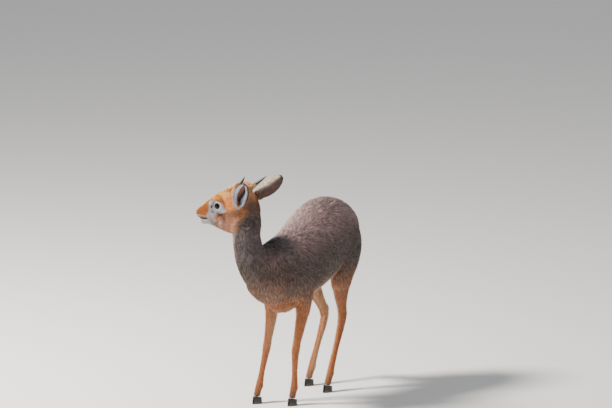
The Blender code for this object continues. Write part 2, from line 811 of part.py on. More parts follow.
def scalp_height(forward):
    """How high the top of the skull is at this place."""
    ahead = [row for row in SKULL if row[0] >= forward][0]
    behind = [row for row in SKULL if row[0] <= forward][-1]
    t = (forward - behind[0]) / max(1e-6, ahead[0] - behind[0])
    return behind[1] + (ahead[1] - behind[1]) * t


def head_nodes(whole):
    """The head with its lids, mouth, nostrils and crest, and the ears cut from it."""
    head = thinned(copy_of(whole, "whole_head"), HEAD_TRIANGLES)
    boolean(head, [head_cut()], "DIFFERENCE")
    part = shell_nearest(head, "head", in_head((4, 0, -1)))
    bpy.data.objects.remove(head)
    groove = mouth_groove(part)
    holes = [nostril(part, side) for side in (1, -1)]
    lids = [eye_ball(f"lid_{side}", side, EYE_RADIUS + LID_THICKNESS) for side in (1, -1)]
    ears = []
    for key in ("left", "right"):
        ears += [ear(f"cup_{key}", key), ear_root(key)]
    boolean(part, lids + ears + crest_locks(), "UNION", solver="MANIFOLD")
    sockets = [eye_ball(f"socket_{side}", side, EYE_RADIUS + GAP / CM) for side in (1, -1)]
    sockets += [eye_opening(side) for side in (1, -1)]
    sockets += [horn(f"horn_socket_{key}", key, GAP / CM) for key in ("left", "right")]
    cuts = [ear_cut(key) for key in ("left", "right")]
    boolean(part, [groove] + holes + sockets + cuts, "DIFFERENCE", solver="MANIFOLD")
    for key in ("left", "right"):
        middle = in_head(Vector(EAR_ROOTS[key]).lerp(Vector(EAR_TIPS[key]), 0.55))
        finish(shell_nearest(part, f"ear_{key}", middle), EAR_GREY, 0.8)
    finish(largest_shell(part), COAT_TAWNY, 0.85)


def claw(name, foot, side):
    """One half of a cloven hoof, pointed in front, with a flat sole."""
    x, y = LEGS[foot][-1][:2]
    half_parting = CLAW_PARTING / 2
    points = []
    for level in range(3):
        t = level / 2
        long = CLAW_LENGTH * (1 - CLAW_TOE_SLOPE * t)
        wide = CLAW_WIDTH * (1 - CLAW_SIDE_SLOPE * t)
        back = y + CLAW_HEEL - CLAW_HEEL_SLOPE * t
        outer, inner = [], []
        for k in range(CLAW_STEPS):
            along = k / (CLAW_STEPS - 1)
            turn = (CLAW_LEAST_WIDTH + (1 - CLAW_LEAST_WIDTH) * along) ** 0.8
            bulge = math.sin(math.pi * turn) ** 0.6 if along < 1 else 0.0
            outer.append((half_parting + wide * max(CLAW_LEAST_WIDTH, bulge), back - long * along))
            inner.append((half_parting + CLAW_INNER_BOW * along**2, back - long * along))
        for across, place in outer + inner[::-1]:
            top = CORONET_Z - (place - y) * CORONET_SLOPE - GAP / CM
            points.append(Vector((x + side * across, place, top * t)) * CM)
    return mesh_object(name, points, tube_faces(3, 2 * CLAW_STEPS))


def settle():
    """Moves the model so that the origin is on the floor, below the middle of its outline."""
    corners = [obj.matrix_world @ Vector(c) for obj in bpy.data.objects for c in obj.bound_box]
    middle = [(min(c[i] for c in corners) + max(c[i] for c in corners)) / 2 for i in (0, 1)]
    for obj in bpy.data.objects:
        obj.data.transform(Matrix.Translation((-middle[0], -middle[1], 0)))


def main():
    clear_scene()
    whole = flesh()
    body_nodes(whole)
    head_nodes(whole)
    bpy.data.objects.remove(whole)
    for key, side in (("left", 1), ("right", -1)):
        finish(eye_ball(f"eye_{key}", side, EYE_RADIUS), EYE_BLACK, 0.08)
        finish(horn(f"horn_{key}", key), HORN_BLACK, 0.45, smooth_deg=25)
    for foot in LEGS:
        for place, side in (("left", 1), ("right", -1)):
            finish(claw(f"{foot}_claw_{place}", foot, side), HORN_BLACK, 0.4, smooth_deg=30)
    settle()


if __name__ == "__main__":
    main()
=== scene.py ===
"""A dik-dik: a small antelope, life size, that stands and looks back over its right shoulder.

Metres, in the row frame: the chest faces -Y, the animal's left side is +X, and the hooves stand on z = 0."""
import math

import bmesh
import bpy
import numpy as np
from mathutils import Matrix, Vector
from mathutils.bvhtree import BVHTree
from mathutils.kdtree import KDTree


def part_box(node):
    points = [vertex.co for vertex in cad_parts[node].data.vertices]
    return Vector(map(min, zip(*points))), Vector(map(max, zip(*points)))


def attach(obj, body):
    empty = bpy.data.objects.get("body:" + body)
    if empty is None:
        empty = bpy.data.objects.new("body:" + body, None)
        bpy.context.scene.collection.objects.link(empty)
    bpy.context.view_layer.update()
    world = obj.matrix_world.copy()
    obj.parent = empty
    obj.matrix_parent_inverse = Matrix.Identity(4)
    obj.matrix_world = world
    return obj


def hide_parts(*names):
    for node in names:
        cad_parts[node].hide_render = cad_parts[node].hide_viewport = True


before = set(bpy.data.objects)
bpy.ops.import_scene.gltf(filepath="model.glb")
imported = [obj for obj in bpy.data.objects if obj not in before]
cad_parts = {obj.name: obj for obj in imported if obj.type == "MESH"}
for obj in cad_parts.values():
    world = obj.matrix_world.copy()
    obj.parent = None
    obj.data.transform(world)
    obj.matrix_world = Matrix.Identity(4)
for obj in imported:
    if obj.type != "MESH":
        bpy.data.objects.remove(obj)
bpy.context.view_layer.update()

# The skin: one closed hide over trunk, neck, head, tail and legs. It takes its shape from the packed
# flesh, without the crest, and lies below it by the depth of the coat that grows on it.
FLESH = ["torso", "neck", "head", "tail"]
LEGS = ["foreleg_left", "foreleg_right", "hindleg_left", "hindleg_right"]
for leg in LEGS:
    FLESH += [leg + "_upper", leg + "_lower"]

HEAD_TURN, HEAD_PITCH, HEAD_ROLL = math.radians(94), math.radians(-5), math.radians(7)
level = Vector((-math.sin(HEAD_TURN), -math.cos(HEAD_TURN), 0))
head_forward = level * math.cos(HEAD_PITCH) + Vector((0, 0, math.sin(HEAD_PITCH)))
unrolled_left = Vector((0, 0, 1)).cross(level)
unrolled_up = head_forward.cross(unrolled_left)
head_left = unrolled_left * math.cos(HEAD_ROLL) - unrolled_up * math.sin(HEAD_ROLL)
head_up = unrolled_up * math.cos(HEAD_ROLL) + unrolled_left * math.sin(HEAD_ROLL)
eye_middle = sum((corner for side in ("left", "right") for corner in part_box("eye_" + side)), Vector()) / 4
head_middle = eye_middle - head_forward * 0.050 - head_up * 0.003
spine_foot = head_middle - Vector((-0.042, -0.172, 0.425))
HEAD_AXES = np.array([head_forward, head_left, head_up])


def on_head(point):
    """A point of the head's frame, in centimetres, as a place in the row frame."""
    return head_middle + (head_forward * point[0] + head_left * point[1] + head_up * point[2]) * 0.01


def head_turned(direction):
    return (head_forward * direction[0] + head_left * direction[1] + head_up * direction[2]).normalized()


def head_cm(points):
    return (np.asarray(points, float) - np.array(head_middle)) @ HEAD_AXES.T * 100


def body_cm(points):
    return (np.asarray(points, float) - np.array(spine_foot)) * 100


def read(things, name, width=1, kind=np.float32):
    """One value of each thing in a mesh's list, as rows of width numbers."""
    values = np.empty(len(things) * width, kind)
    things.foreach_get(name, values)
    return values if width == 1 else values.reshape(-1, width)


def points_of(obj):
    return read(obj.data.vertices, "co", 3).astype(float)


def normals_of(obj):
    return read(obj.data.vertex_normals, "vector", 3).astype(float)


def place_points(obj, points):
    obj.data.vertices.foreach_set("co", np.asarray(points, np.float32).ravel())
    obj.data.update()


def alone(obj):
    """Selects this object and nothing else."""
    bpy.ops.object.select_all(action="DESELECT")
    obj.select_set(True)
    bpy.context.view_layer.objects.active = obj


def apply_step(obj, kind, **values):
    """Adds a modifier with these values and applies it."""
    alone(obj)
    step = obj.modifiers.new(kind.lower(), kind)
    for key, value in values.items():
        setattr(step, key, value)
    bpy.ops.object.modifier_apply(modifier=step.name)


def new_piece(name, mesh):
    obj = bpy.data.objects.new(name, mesh)
    bpy.context.scene.collection.objects.link(obj)
    return obj


def closed_piece(name, points, faces):
    """A new piece of these points and faces, with every normal turned outward."""
    mesh = bpy.data.meshes.new(name)
    mesh.from_pydata(points, [], faces)
    work = bmesh.new()
    work.from_mesh(mesh)
    bmesh.ops.recalc_face_normals(work, faces=work.faces)
    work.to_mesh(mesh)
    work.free()
    return new_piece(name, mesh)


SAME_POINT = 0.00002


def merged_copy(name, node):
    """A copy of a CAD node's mesh whose loose triangles are joined along their edges."""
    mesh = node.data.copy()
    work = bmesh.new()
    work.from_mesh(mesh)
    bmesh.ops.remove_doubles(work, verts=work.verts, dist=SAME_POINT)
    work.to_mesh(mesh)
    work.free()
    mesh.materials.clear()
    return new_piece(name, mesh)


def grown(obj, by):
    """Moves each point of obj along its normal."""
    place_points(obj, points_of(obj) + normals_of(obj) * by)
    return obj


# The scalp under the crest: forward and height in the head's frame, and the block that takes the crest off.
SCALP_FORWARD = (-4.5, -2.8, -2.1, -0.7, 1.2, 3.2, 5.0, 6.6)
SCALP_TOP = (0.2, 1.3, 2.7, 3.8, 4.1, 3.8, 3.1, 2.25)
HEAD_HALF_WIDTH, SCALP_FALL = 3.05, 4.6
CREST_STUBBLE, CREST_BLOCK_TOP = 0.04, 8.0


def scalp_top(forward, left):
    """Height of the bare scalp beside the middle line, in the head's frame."""
    fall = SCALP_FALL * (1 - np.sqrt(np.clip(1 - (np.asarray(left) / HEAD_HALF_WIDTH) ** 2, 0.05, 1)))
    return np.interp(forward, SCALP_FORWARD, SCALP_TOP) - fall


def crest_remover():
    """A block whose underside follows the scalp, to take the crest off a copy of the head."""
    ahead, aside = np.linspace(-4.2, 5.9, 24), np.linspace(-2.0, 2.0, 11)
    points, faces = [], []
    for top in (False, True):
        for forward in ahead:
            for left in aside:
                height = CREST_BLOCK_TOP if top else scalp_top(forward, left) + CREST_STUBBLE
                points.append(on_head((forward, left, height)))
    rows, columns = len(ahead), len(aside)
    for layer in (0, rows * columns):
        for i in range(rows - 1):
            for k in range(columns - 1):
                a = layer + i * columns + k
                faces.append((a, a + 1, a + columns + 1, a + columns))
    rim = list(range(columns))
    rim += [i * columns + columns - 1 for i in range(1, rows)]
    rim += [(rows - 1) * columns + k for k in range(columns - 2, -1, -1)]
    rim += [i * columns for i in range(rows - 2, 0, -1)]
    for a, b in zip(rim, rim[1:] + rim[:1]):
        faces.append((a, b, b + rows * columns, a + rows * columns))
    return closed_piece("crest_remover", points, faces)


SKIN_VOXEL = 0.0012
GROWTH = 0.0004
copies = {name: merged_copy("hide_" + name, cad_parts[name]) for name in FLESH}
for copy in copies.values():
    grown(copy, GROWTH)
alone(copies["torso"])
for copy in copies.values():
    copy.select_set(True)
bpy.ops.object.join()
skin = copies["torso"]
skin.name = skin.data.name = "skin"
apply_step(skin, "REMESH", mode="VOXEL", voxel_size=SKIN_VOXEL)
remover = crest_remover()
apply_step(skin, "BOOLEAN", operation="DIFFERENCE", object=remover, solver="MANIFOLD")
bpy.data.objects.remove(remover)


def spread(values, pairs, times, held=None):
    """Averages values over neighbouring points, a number of times. held is a share that each point keeps."""
    values = np.array(values, float)
    flat = values.ndim == 1
    values = values.reshape(len(values), -1)
    count = np.bincount(pairs.ravel(), minlength=len(values))[:, None]
    keep = 0 if held is None else np.asarray(held)[:, None]
    for _ in range(times):
        total = np.empty_like(values)
        for k in range(values.shape[1]):
            total[:, k] = np.bincount(pairs[:, 0], values[pairs[:, 1], k], len(values))
            total[:, k] += np.bincount(pairs[:, 1], values[pairs[:, 0], k], len(values))
        mean = (values + total) / (count + 1)
        values = values * keep + mean * (1 - keep)
    return values[:, 0] if flat else values


def ramp(value, low, high):
    """0 below low and 1 above high, with a soft change between."""
    t = np.clip((np.asarray(value, float) - low) / (high - low), 0, 1)
    return t * t * (3 - 2 * t)


# How much of the skin's first shape stays: all of it at eyes, nose, mouth and ears.
on_skin = points_of(skin)
place = head_cm(on_skin)
is_face = ramp(place[:, 2], -7.5, -5.5) * ramp(place[:, 0], -4.5, -3.0) * (np.abs(place[:, 1]) < 8)
fine_face = is_face * ramp(place[:, 0], 2.6, 3.8)
pairs = read(skin.data.edges, "vertices", 2, np.int32)
FIRST_SMOOTHING, HIDE_KEPT = 14, 0.36
smoothed = spread(on_skin, pairs, FIRST_SMOOTHING, held=np.clip(fine_face * 0.9 + is_face * 0.05, 0, 0.95))
place_points(skin, smoothed)
group = skin.vertex_groups.new(name="thin_here")
coarse = np.nonzero(is_face < 0.5)[0].tolist()
group.add(coarse, 1.0, "REPLACE")
apply_step(skin, "DECIMATE", ratio=HIDE_KEPT, vertex_group="thin_here", vertex_group_factor=4.0)

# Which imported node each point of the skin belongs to.
finder = KDTree(sum(len(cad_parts[name].data.vertices) for name in FLESH))
serial = 0
for name in FLESH:
    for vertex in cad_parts[name].data.vertices:
        finder.insert(vertex.co, serial)
        serial += 1
finder.balance()
owner_of_vertex = np.repeat(range(len(FLESH)), [len(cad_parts[name].data.vertices) for name in FLESH])
on_skin = points_of(skin)
owner = owner_of_vertex[[finder.find(p)[1] for p in on_skin]]
pairs = read(skin.data.edges, "vertices", 2, np.int32)

# Depth and length of the coat, and where it points, for each node: centimetres and a direction.
COAT = {
    "torso": (0.42, 1.45, (0.0, 1.0, -0.35)),
    "neck": (0.42, 1.40, (0.12, 0.25, -1.0)),
    "head": (0.16, 0.62, (0.0, 0.0, 0.0)),
    "tail": (0.30, 1.70, (0.0, 0.35, -1.0)),
    "upper": (0.20, 0.85, (0.0, 0.15, -1.0)),
    "lower": (0.08, 0.42, (0.0, 0.05, -1.0)),
}


def coat_of(name):
    return COAT[name.split("_")[-1] if name not in COAT else name]


depth = np.array([coat_of(name)[0] for name in FLESH])[owner]
length = np.array([coat_of(name)[1] for name in FLESH])[owner]
lie = np.array([coat_of(name)[2] for name in FLESH])[owner]
place, spot = head_cm(on_skin), body_cm(on_skin)
skin_normals = normals_of(skin)
on_head_only = owner == FLESH.index("head")
on_torso = owner == FLESH.index("torso")

# The face's hair is shortest on nose and lids, and longer on cheeks, crown and nape.
face_length = 0.30 + 0.30 * ramp(-place[:, 0], -9.5, -4.0) + 0.45 * ramp(-place[:, 0], -2.0, 1.5)
face_length += 0.35 * ramp(-place[:, 2], 2.5, 5.0) * ramp(-place[:, 0], -7.0, -3.0)
length = np.where(on_head_only, face_length, length)
depth = np.where(on_head_only, 0.05 + 0.20 * face_length, depth)
toward_back = np.array(-head_forward) * 0.95 - np.array(head_up) * 0.30
lie = np.where(on_head_only[:, None], toward_back, lie)

# On the trunk the hair turns down over the flanks, the chest and the thighs.
flank = ramp(np.abs(skin_normals[:, 0]), 0.35, 0.95)
lie[on_torso, 2] -= 0.55 * flank[on_torso]
chest = ramp(-spot[:, 1], 11.0, 17.0) * on_torso
lie += np.outer(chest, (0.0, -0.8, -0.9))
thigh = ramp(-spot[:, 2], -30.0, -22.0) * ramp(np.abs(spot[:, 0]), 2.0, 4.0) * on_torso
lie += np.outer(thigh, (0.0, -0.4, -1.0))
belly = ramp(-skin_normals[:, 2], 0.3, 0.9) * on_torso
length -= 0.35 * belly
rump = ramp(spot[:, 1], 11.0, 16.0) * ramp(spot[:, 2], 26.0, 32.0) * on_torso
length += 0.25 * rump
lie += np.outer(rump, (0.0, -0.2, -0.9))

LIE_SPREAD, COAT_SPREAD = 40, 25
lie = spread(lie, pairs, LIE_SPREAD)
depth = spread(depth, pairs, COAT_SPREAD)
length = spread(length, pairs, COAT_SPREAD)
eye_places = [sum(np.array(corner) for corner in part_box("eye_" + side)) / 2 for side in ("left", "right")]
eye_distance = np.min([np.linalg.norm(on_skin - e, axis=1) for e in eye_places], axis=0) * 100
depth *= ramp(eye_distance, 0.9, 2.2)
length *= 0.45 + 0.55 * ramp(eye_distance, 0.9, 2.6)
inset = spread(skin_normals, pairs, 3)
inset /= np.linalg.norm(inset, axis=1)[:, None]
on_skin = on_skin - inset * (depth[:, None] * 0.01 + GROWTH)
place_points(skin, on_skin)
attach(skin, "root")
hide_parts(*FLESH)

# The face's openings: the line of the mouth and two slanted nostrils, pressed into the skin of the muzzle,
# which is first given finer faces.
KEPT_LAYERS = (("lie", "FLOAT_VECTOR", lie), ("hair", "FLOAT", length), ("depth", "FLOAT", depth))
for layer, kind, values in KEPT_LAYERS:
    kept = skin.data.attributes.new(layer, kind, "POINT")
    kept.data.foreach_set("vector" if kind == "FLOAT_VECTOR" else "value", values.astype(np.float32).ravel())
MUZZLE_FROM = 0.086
work = bmesh.new()
work.from_mesh(skin.data)
near = []
for edge in work.edges:
    middle = (edge.verts[0].co + edge.verts[1].co) / 2
    if (middle - head_middle).dot(head_forward) > MUZZLE_FROM:
        near.append(edge)
bmesh.ops.subdivide_edges(work, edges=near, cuts=1, use_grid_fill=True)
bmesh.ops.triangulate(work, faces=[f for f in work.faces if len(f.verts) > 3])
work.to_mesh(skin.data)
work.free()
skin.data.update()
on_skin = points_of(skin)
skin_normals = normals_of(skin)
place = head_cm(on_skin)
MOUTH = ((8.7, -2.72), (9.4, -2.78), (10.1, -2.78), (12.5, -2.60))


def above_mouth(place):
    """Height of each point of the head's frame over the line of the mouth."""
    return place[:, 2] - np.interp(place[:, 0], [m[0] for m in MOUTH], [m[1] for m in MOUTH])


mouth = np.exp(-(above_mouth(place) / 0.10) ** 2) * ramp(place[:, 0], 8.5, 9.2)
NOSTRIL = (11.35, 0.62, -1.75)
beside = np.abs(place[:, 1])
NOSTRIL_RISE, NOSTRIL_RUN = 0.60, 0.80
MOUTH_DEPTH, NOSTRIL_DEPTH = 0.0024, 0.0018


def in_nostril(place):
    """How far along and across the slit of the nostril each point of the head's frame lies."""
    ahead, above = place[:, 0] - NOSTRIL[0], place[:, 2] - NOSTRIL[2]
    return ahead * NOSTRIL_RUN + above * NOSTRIL_RISE, above * NOSTRIL_RUN - ahead * NOSTRIL_RISE


along_slit, across_slit = in_nostril(place)
nostril = np.exp(-((along_slit / 0.30) ** 2) - (across_slit / 0.12) ** 2) * ramp(beside, 0.25, 0.45)
nostril *= ramp(place[:, 0], 10.8, 11.2)
on_skin = on_skin - skin_normals * (mouth * MOUTH_DEPTH + nostril * NOSTRIL_DEPTH)[:, None]
place_points(skin, on_skin)
skin.data.shade_smooth()

# The markings that skin and coat share. They are places of the head's frame and of the trunk, each with
# a colour: tawny bridge with painted light on its top, white eye ring with patches of painted shade, white
# chin, black gland, dark cheek of painted shade, pale throat edge partly of painted light, a painted
# highlight on the nose tip, and a grizzled grey back with painted light on top and painted shade on flank
# and rump.


def linear(rgb):
    """A colour of 0 to 255 as the linear numbers that a material wants."""
    c = np.array(rgb, float) / 255
    return np.where(c <= 0.04045, c / 12.92, ((c + 0.055) / 1.055) ** 2.4)


TAWNY = linear((224, 142, 74))
# Painted light: the tawny of the face, brighter, as on its sunlit top.
TAWNY_PAINTED_LIGHT = linear((250, 182, 98))
CROWN = linear((226, 172, 118))
CHEEK = linear((196, 148, 124))
PALE_CHEEK = linear((240, 220, 214))
JAW = linear((228, 192, 174))
# Painted shade: dark brown for the hollow under the cheekbone.
CHEEK_PAINTED_SHADE = linear((108, 66, 46))
WHITE = linear((246, 244, 246))
RING = linear((228, 230, 242))
# Painted shade: the blue grey of shaded places in the white eye ring.
RING_PAINTED_SHADE = linear((146, 142, 158))
LIP = linear((30, 26, 34))
BLACK_SKIN = linear((22, 18, 18))
# Painted shade: the trunk's grey coat, darker than its own colour, as on a side turned from the light.
GREY_WITH_PAINTED_SHADE = linear((70, 53, 49))
# Painted light: the trunk's grey coat, made lighter and lilac, as where light falls on the top of the back.
LILAC_PAINTED_LIGHT = linear((168, 136, 132))
NAPE = linear((66, 46, 42))
DARK_GREY = linear((80, 70, 74))
BROWN = linear((146, 98, 68))
DARK_BROWN = linear((74, 40, 26))
FLANK_BROWN = linear((104, 70, 52))
# Painted shade for the sides of the rump.
RUMP_PAINTED_SHADE = linear((46, 31, 28))
LEG = linear((188, 112, 60))
THIGH = linear((164, 102, 64))
FOLD = linear((212, 150, 100))
BRISKET = linear((176, 108, 58))
PALE = linear((214, 168, 126))
# Partly the throat's own pale fur and partly painted light on the neck's edge.
THROAT_WITH_PAINTED_LIGHT = linear((184, 148, 126))
THROAT_LOCK = linear((200, 140, 106))


def mixed(under, over, share):
    return under + (over - under) * share[:, None]


def blob(points, centre, radii, soft=0.35):
    """1 inside an ellipsoid and 0 outside, with a soft edge."""
    far = np.sqrt((((points - np.array(centre)) / np.array(radii)) ** 2).sum(1))
    return 1 - ramp(far, 1 - soft, 1 + soft)


def patched(under, points, patches):
    """A colour with patches laid over it, one after another: colour, share, centre, radii, softness."""
    for colour, share, *place in patches:
        under = mixed(under, colour, blob(points, *place) * share)
    return under


def widest(points, places):
    """The largest share of any of these places: share, centre, radii, softness."""
    return np.max([blob(points, *place) * share for share, *place in places], axis=0)


CROWN_PATCHES = (
    (DARK_BROWN, 0.85, (-2.2, 1.6, 0.1), (1.4, 1.8, 1.5), 0.4),
    (CROWN, 0.8, (1.0, 0, 3.6), (3.8, 2.0, 1.9)))
# The first two cheek patches are painted shade under the cheekbone.
CHEEK_PATCHES = (
    (CHEEK_PAINTED_SHADE, 0.9, (3.9, 2.7, -1.6), (1.8, 1.3, 1.15), 0.5),
    (CHEEK_PAINTED_SHADE, 0.75, (1.0, 2.9, -1.0), (1.3, 1.3, 0.9), 0.5),
    (THROAT_LOCK, 0.75, (3.1, 2.8, -2.9), (0.8, 1.3, 1.7), 0.4))
JAW_PATCHES = (
    (JAW, 0.9, (7.0, 1.5, -3.4), (1.9, 1.6, 0.9), 0.4),
    (PALE_CHEEK, 1.0, (7.9, 1.7, -2.1), (1.45, 1.3, 1.0), 0.35))
RING_PLACES = (
    (0.85, (5.35, 2.6, 0.25), (1.50, 1.5, 1.02), 0.16),
    (1.0, (7.35, 1.7, 0.70), (1.25, 1.3, 0.80), 0.22),
    (1.0, (7.10, 2.0, -0.85), (1.20, 1.4, 0.90), 0.25),
    (1.0, (4.75, 2.7, -0.45), (1.35, 1.3, 0.62), 0.25))
# Places of painted shade in the white ring, before the eye and below the gland.
SHADE_PLACES = (
    (1.0, (6.55, 2.1, 0.55), (0.42, 1.1, 0.62), 0.5),
    (1.0, (7.2, 2.0, -0.95), (0.50, 1.2, 0.30), 0.5))
PASTERN, CHEEK_STREAK = linear((120, 82, 58)), linear((150, 98, 74))
# The second colour on this line is a painted highlight for the tip of the nose.
PALE_LIP, NOSE_PAINTED_HIGHLIGHT = linear((238, 206, 178)), linear((214, 178, 152))


def markings(points, normals):
    """Colour of the coat, and how grizzled it is, at each point."""
    head, body = head_cm(points), body_cm(points)
    sided = head.copy()
    sided[:, 1] = np.abs(sided[:, 1])
    (fore, beside, rise), (x, y, z), (nx, ny, nz) = head.T, body.T, normals.T
    inward = -nx * np.sign(x)
    # Trunk: grey coat darkened with painted shade, made lilac with painted light where the back faces up,
    # darker down the flank, brown low down and under the chest.
    colour = np.tile(GREY_WITH_PAINTED_SHADE, (len(points), 1))
    grizzle = np.ones(len(points))
    low = ramp(-z, -30, -21)
    colour = mixed(colour, FLANK_BROWN, low)
    # Painted shade: the sides of the rump are darkened to near black-brown.
    rump_side_painted_shade = ramp(y, 6, 12) * ramp(np.abs(x), 3.0, 5.5) * ramp(z, 22, 27)
    colour = mixed(colour, RUMP_PAINTED_SHADE, rump_side_painted_shade * 0.8)
    # Painted light: faces that turn upward along the back are made lilac grey, as if lit from above.
    back = ramp(nz, 0.05, 0.75) * ramp(z, 27, 36)
    colour = mixed(colour, LILAC_PAINTED_LIGHT, back)
    under = ramp(-nz, 0.30, 0.85) * ramp(y, -13, -8)
    colour = mixed(colour, PALE, under)
    grizzle *= 1 - 0.85 * under
    brisket = blob(body, (0.5, -10.5, 20.0), (5.5, 6.5, 3.6), 0.5)
    colour = mixed(colour, BRISKET, brisket * 0.85)
    grizzle *= 1 - 0.5 * brisket
    breast = ramp(-y, 13, 17) * ramp(-z, -30, -25)
    colour = mixed(colour, BROWN, breast * 0.6)
    # Thighs and legs.
    thigh = ramp(-z, -29.5, -20) * ramp(y, 2, 6)
    colour = mixed(colour, THIGH, thigh)
    fold = blob(body, (6.0, 5.5, 21.8), (2.5, 2.6, 1.5), 0.5)
    colour = mixed(colour, FOLD, fold * 0.8)
    leg = ramp(-z, -25.5, -16.5)
    colour = mixed(colour, LEG, leg * (1 - 0.45 * ramp(-y, 7, 9) * ramp(z, 16, 19)))
    grizzle *= 1 - 0.75 * leg
    inner = leg * ramp(inward, 0.15, 0.7) * ramp(z, 8, 16)
    inner = np.maximum(inner, ramp(inward, 0.1, 0.6) * thigh)
    colour = mixed(colour, PALE, inner * 0.75)
    pastern = ramp(-z, -4.5, -2.2)
    colour = mixed(colour, PASTERN, pastern * 0.6)
    # Neck.
    neck = ramp(z, 30.5, 34.0) * ramp(-y, 9, 12)
    colour = mixed(colour, DARK_GREY, neck)
    # Pale neck edge, on faces turned towards the light: partly pale throat fur, partly painted light.
    throat_and_painted_light = neck * ramp(-nx * 0.9 - ny * 0.35, 0.55, 0.95)
    colour = mixed(colour, THROAT_WITH_PAINTED_LIGHT, throat_and_painted_light * 0.8)
    grizzle *= 1 - 0.4 * throat_and_painted_light
    # Head.
    on = ramp(rise, -5.6, -4.0) * ramp(fore, -4.5, -2.5)
    on = np.maximum(on, ramp(fore, 2.0, 3.2) * ramp(rise, -9, -8)) * (np.abs(beside) < 9)
    face = np.tile(TAWNY, (len(points), 1))
    face = mixed(face, BROWN, ramp(-fore, -1.0, 1.5) * 0.75)
    # Painted light: the upward top of the tawny bridge is made brighter.
    bridge_painted_light = ramp(rise + 0.35 * fore, 2.6, 3.9) * ramp(fore, 0.5, 3.0)
    face = mixed(face, TAWNY_PAINTED_LIGHT, bridge_painted_light)
    face = patched(face, sided, CROWN_PATCHES)
    cheek = ramp(-rise - 0.12 * fore, 0.3, 2.2) * ramp(fore, -0.5, 2.5)
    face = mixed(face, CHEEK, cheek * 0.9)
    face = patched(face, sided, CHEEK_PATCHES)
    under_jaw = ramp(-rise, 4.3, 5.3) * ramp(fore, 1.0, 4.0)
    face = mixed(face, PALE, under_jaw * 0.8)
    nape = ramp(-rise + 0.55 * -fore, 0.9, 3.0) * ramp(-fore, -2.4, -0.2)
    face = mixed(face, NAPE, nape)
    face = patched(face, sided, JAW_PATCHES)
    ring = widest(sided, RING_PLACES)
    face = mixed(face, RING, ring)
    face = mixed(face, TAWNY, blob(sided, (4.7, 2.4, 1.25), (0.75, 1.1, 0.42), 0.4) * 0.8)
    # Painted shade over parts of the white ring.
    face = mixed(face, RING_PAINTED_SHADE, widest(sided, SHADE_PLACES) * 0.75)
    waves = np.sin(fore * 4.1 + 2 * np.sin(rise * 3.3))
    waves = waves * np.sin(rise * 5.2 + beside * 3.1)
    mottle = (0.5 + 0.5 * waves) * cheek * (1 - 0.7 * blob(sided, (7.9, 1.7, -2.1), (1.6, 1.5, 1.2)))
    face = mixed(face, CHEEK_STREAK, 0.5 * mottle)
    chin = ramp(-rise, 2.70, 2.90) * ramp(fore, 8.0, 8.9)
    face = mixed(face, WHITE, chin)
    over_lips = above_mouth(head)
    pale_lip = ramp(over_lips, 0.35, 0.55) * (1 - ramp(over_lips, 0.80, 1.05)) * ramp(fore, 8.4, 9.4)
    face = mixed(face, PALE_LIP, pale_lip * 0.8)
    # Painted highlight: a pale patch on the tip of the nose.
    nose_painted_highlight = blob(sided, (12.1, 0.0, -1.3), (0.75, 0.9, 0.8), 0.3)
    face = mixed(face, NOSE_PAINTED_HIGHLIGHT, nose_painted_highlight * 0.8)
    lip = ramp(over_lips, -0.14, -0.04) * (1 - ramp(over_lips, 0.28, 0.42))
    lip *= ramp(fore, 8.7, 9.3) * (1 - ramp(fore, 11.2, 12.0))
    face = mixed(face, LIP, lip * 0.95)
    gland = blob(sided, (7.35, 1.95, 0.05), (0.40, 0.7, 0.36), 0.3)
    face = mixed(face, BLACK_SKIN, gland)
    colour = mixed(colour, face, on)
    grizzle = grizzle * (1 - on * (1 - 0.75 * nape - 0.25 * cheek * (1 - ring)))
    tail = blob(body, (0, 21.3, 33.0), (1.8, 2.2, 4.0))
    colour = mixed(colour, FLANK_BROWN, tail * 0.6)
    return np.clip(colour, 0, 1), np.clip(grizzle, 0, 1)


def lips_and_nostrils(points):
    """1 where the skin is bare and dark: between the lips and in the nostrils."""
    head = head_cm(points)
    line = 1 - ramp(np.abs(above_mouth(head)), 0.12, 0.22)
    line *= ramp(head[:, 0], 8.7, 9.4)
    along, across = in_nostril(head)
    hole = np.exp(-((along / 0.34) ** 2) - (across / 0.15) ** 2) * ramp(np.abs(head[:, 1]), 0.2, 0.4)
    return np.clip(line + hole * ramp(head[:, 0], 10.8, 11.2), 0, 1)


def paint(obj, colours):
    """Keeps a colour for each point of obj, for its material."""
    layer = obj.data.color_attributes.new("coat", "FLOAT_COLOR", "POINT")
    rgba = np.ones((len(colours), 4), np.float32)
    rgba[:, :3] = colours
    layer.data.foreach_set("color", rgba.ravel())


def patterned_material(name):
    """A new material: itself, its nodes, links and shader, and the Object place that its patterns follow."""
    material = bpy.data.materials.new(name)
    material.use_nodes = True
    nodes, links = material.node_tree.nodes, material.node_tree.links
    where = nodes.new("ShaderNodeTexCoord").outputs["Object"]
    return material, nodes, links, nodes["Principled BSDF"], where


def set_sockets(node, **values):
    """Gives a node's sockets their values. A name here has _ for each space."""
    for name, value in values.items():
        node.inputs[name.replace("_", " ")].default_value = value


def noise(nodes, links, where, scale, detail=2.0):
    field = nodes.new("ShaderNodeTexNoise")
    set_sockets(field, Scale=scale, Detail=detail)
    links.new(where, field.inputs["Vector"])
    return field.outputs["Fac"]


def mapped(nodes, links, source, low, high, to_low, to_high):
    """source, with low to high turned into to_low to to_high."""
    change = nodes.new("ShaderNodeMapRange")
    set_sockets(change, From_Min=low, From_Max=high, To_Min=to_low, To_Max=to_high)
    links.new(source, change.inputs["Value"])
    return change.outputs["Result"]


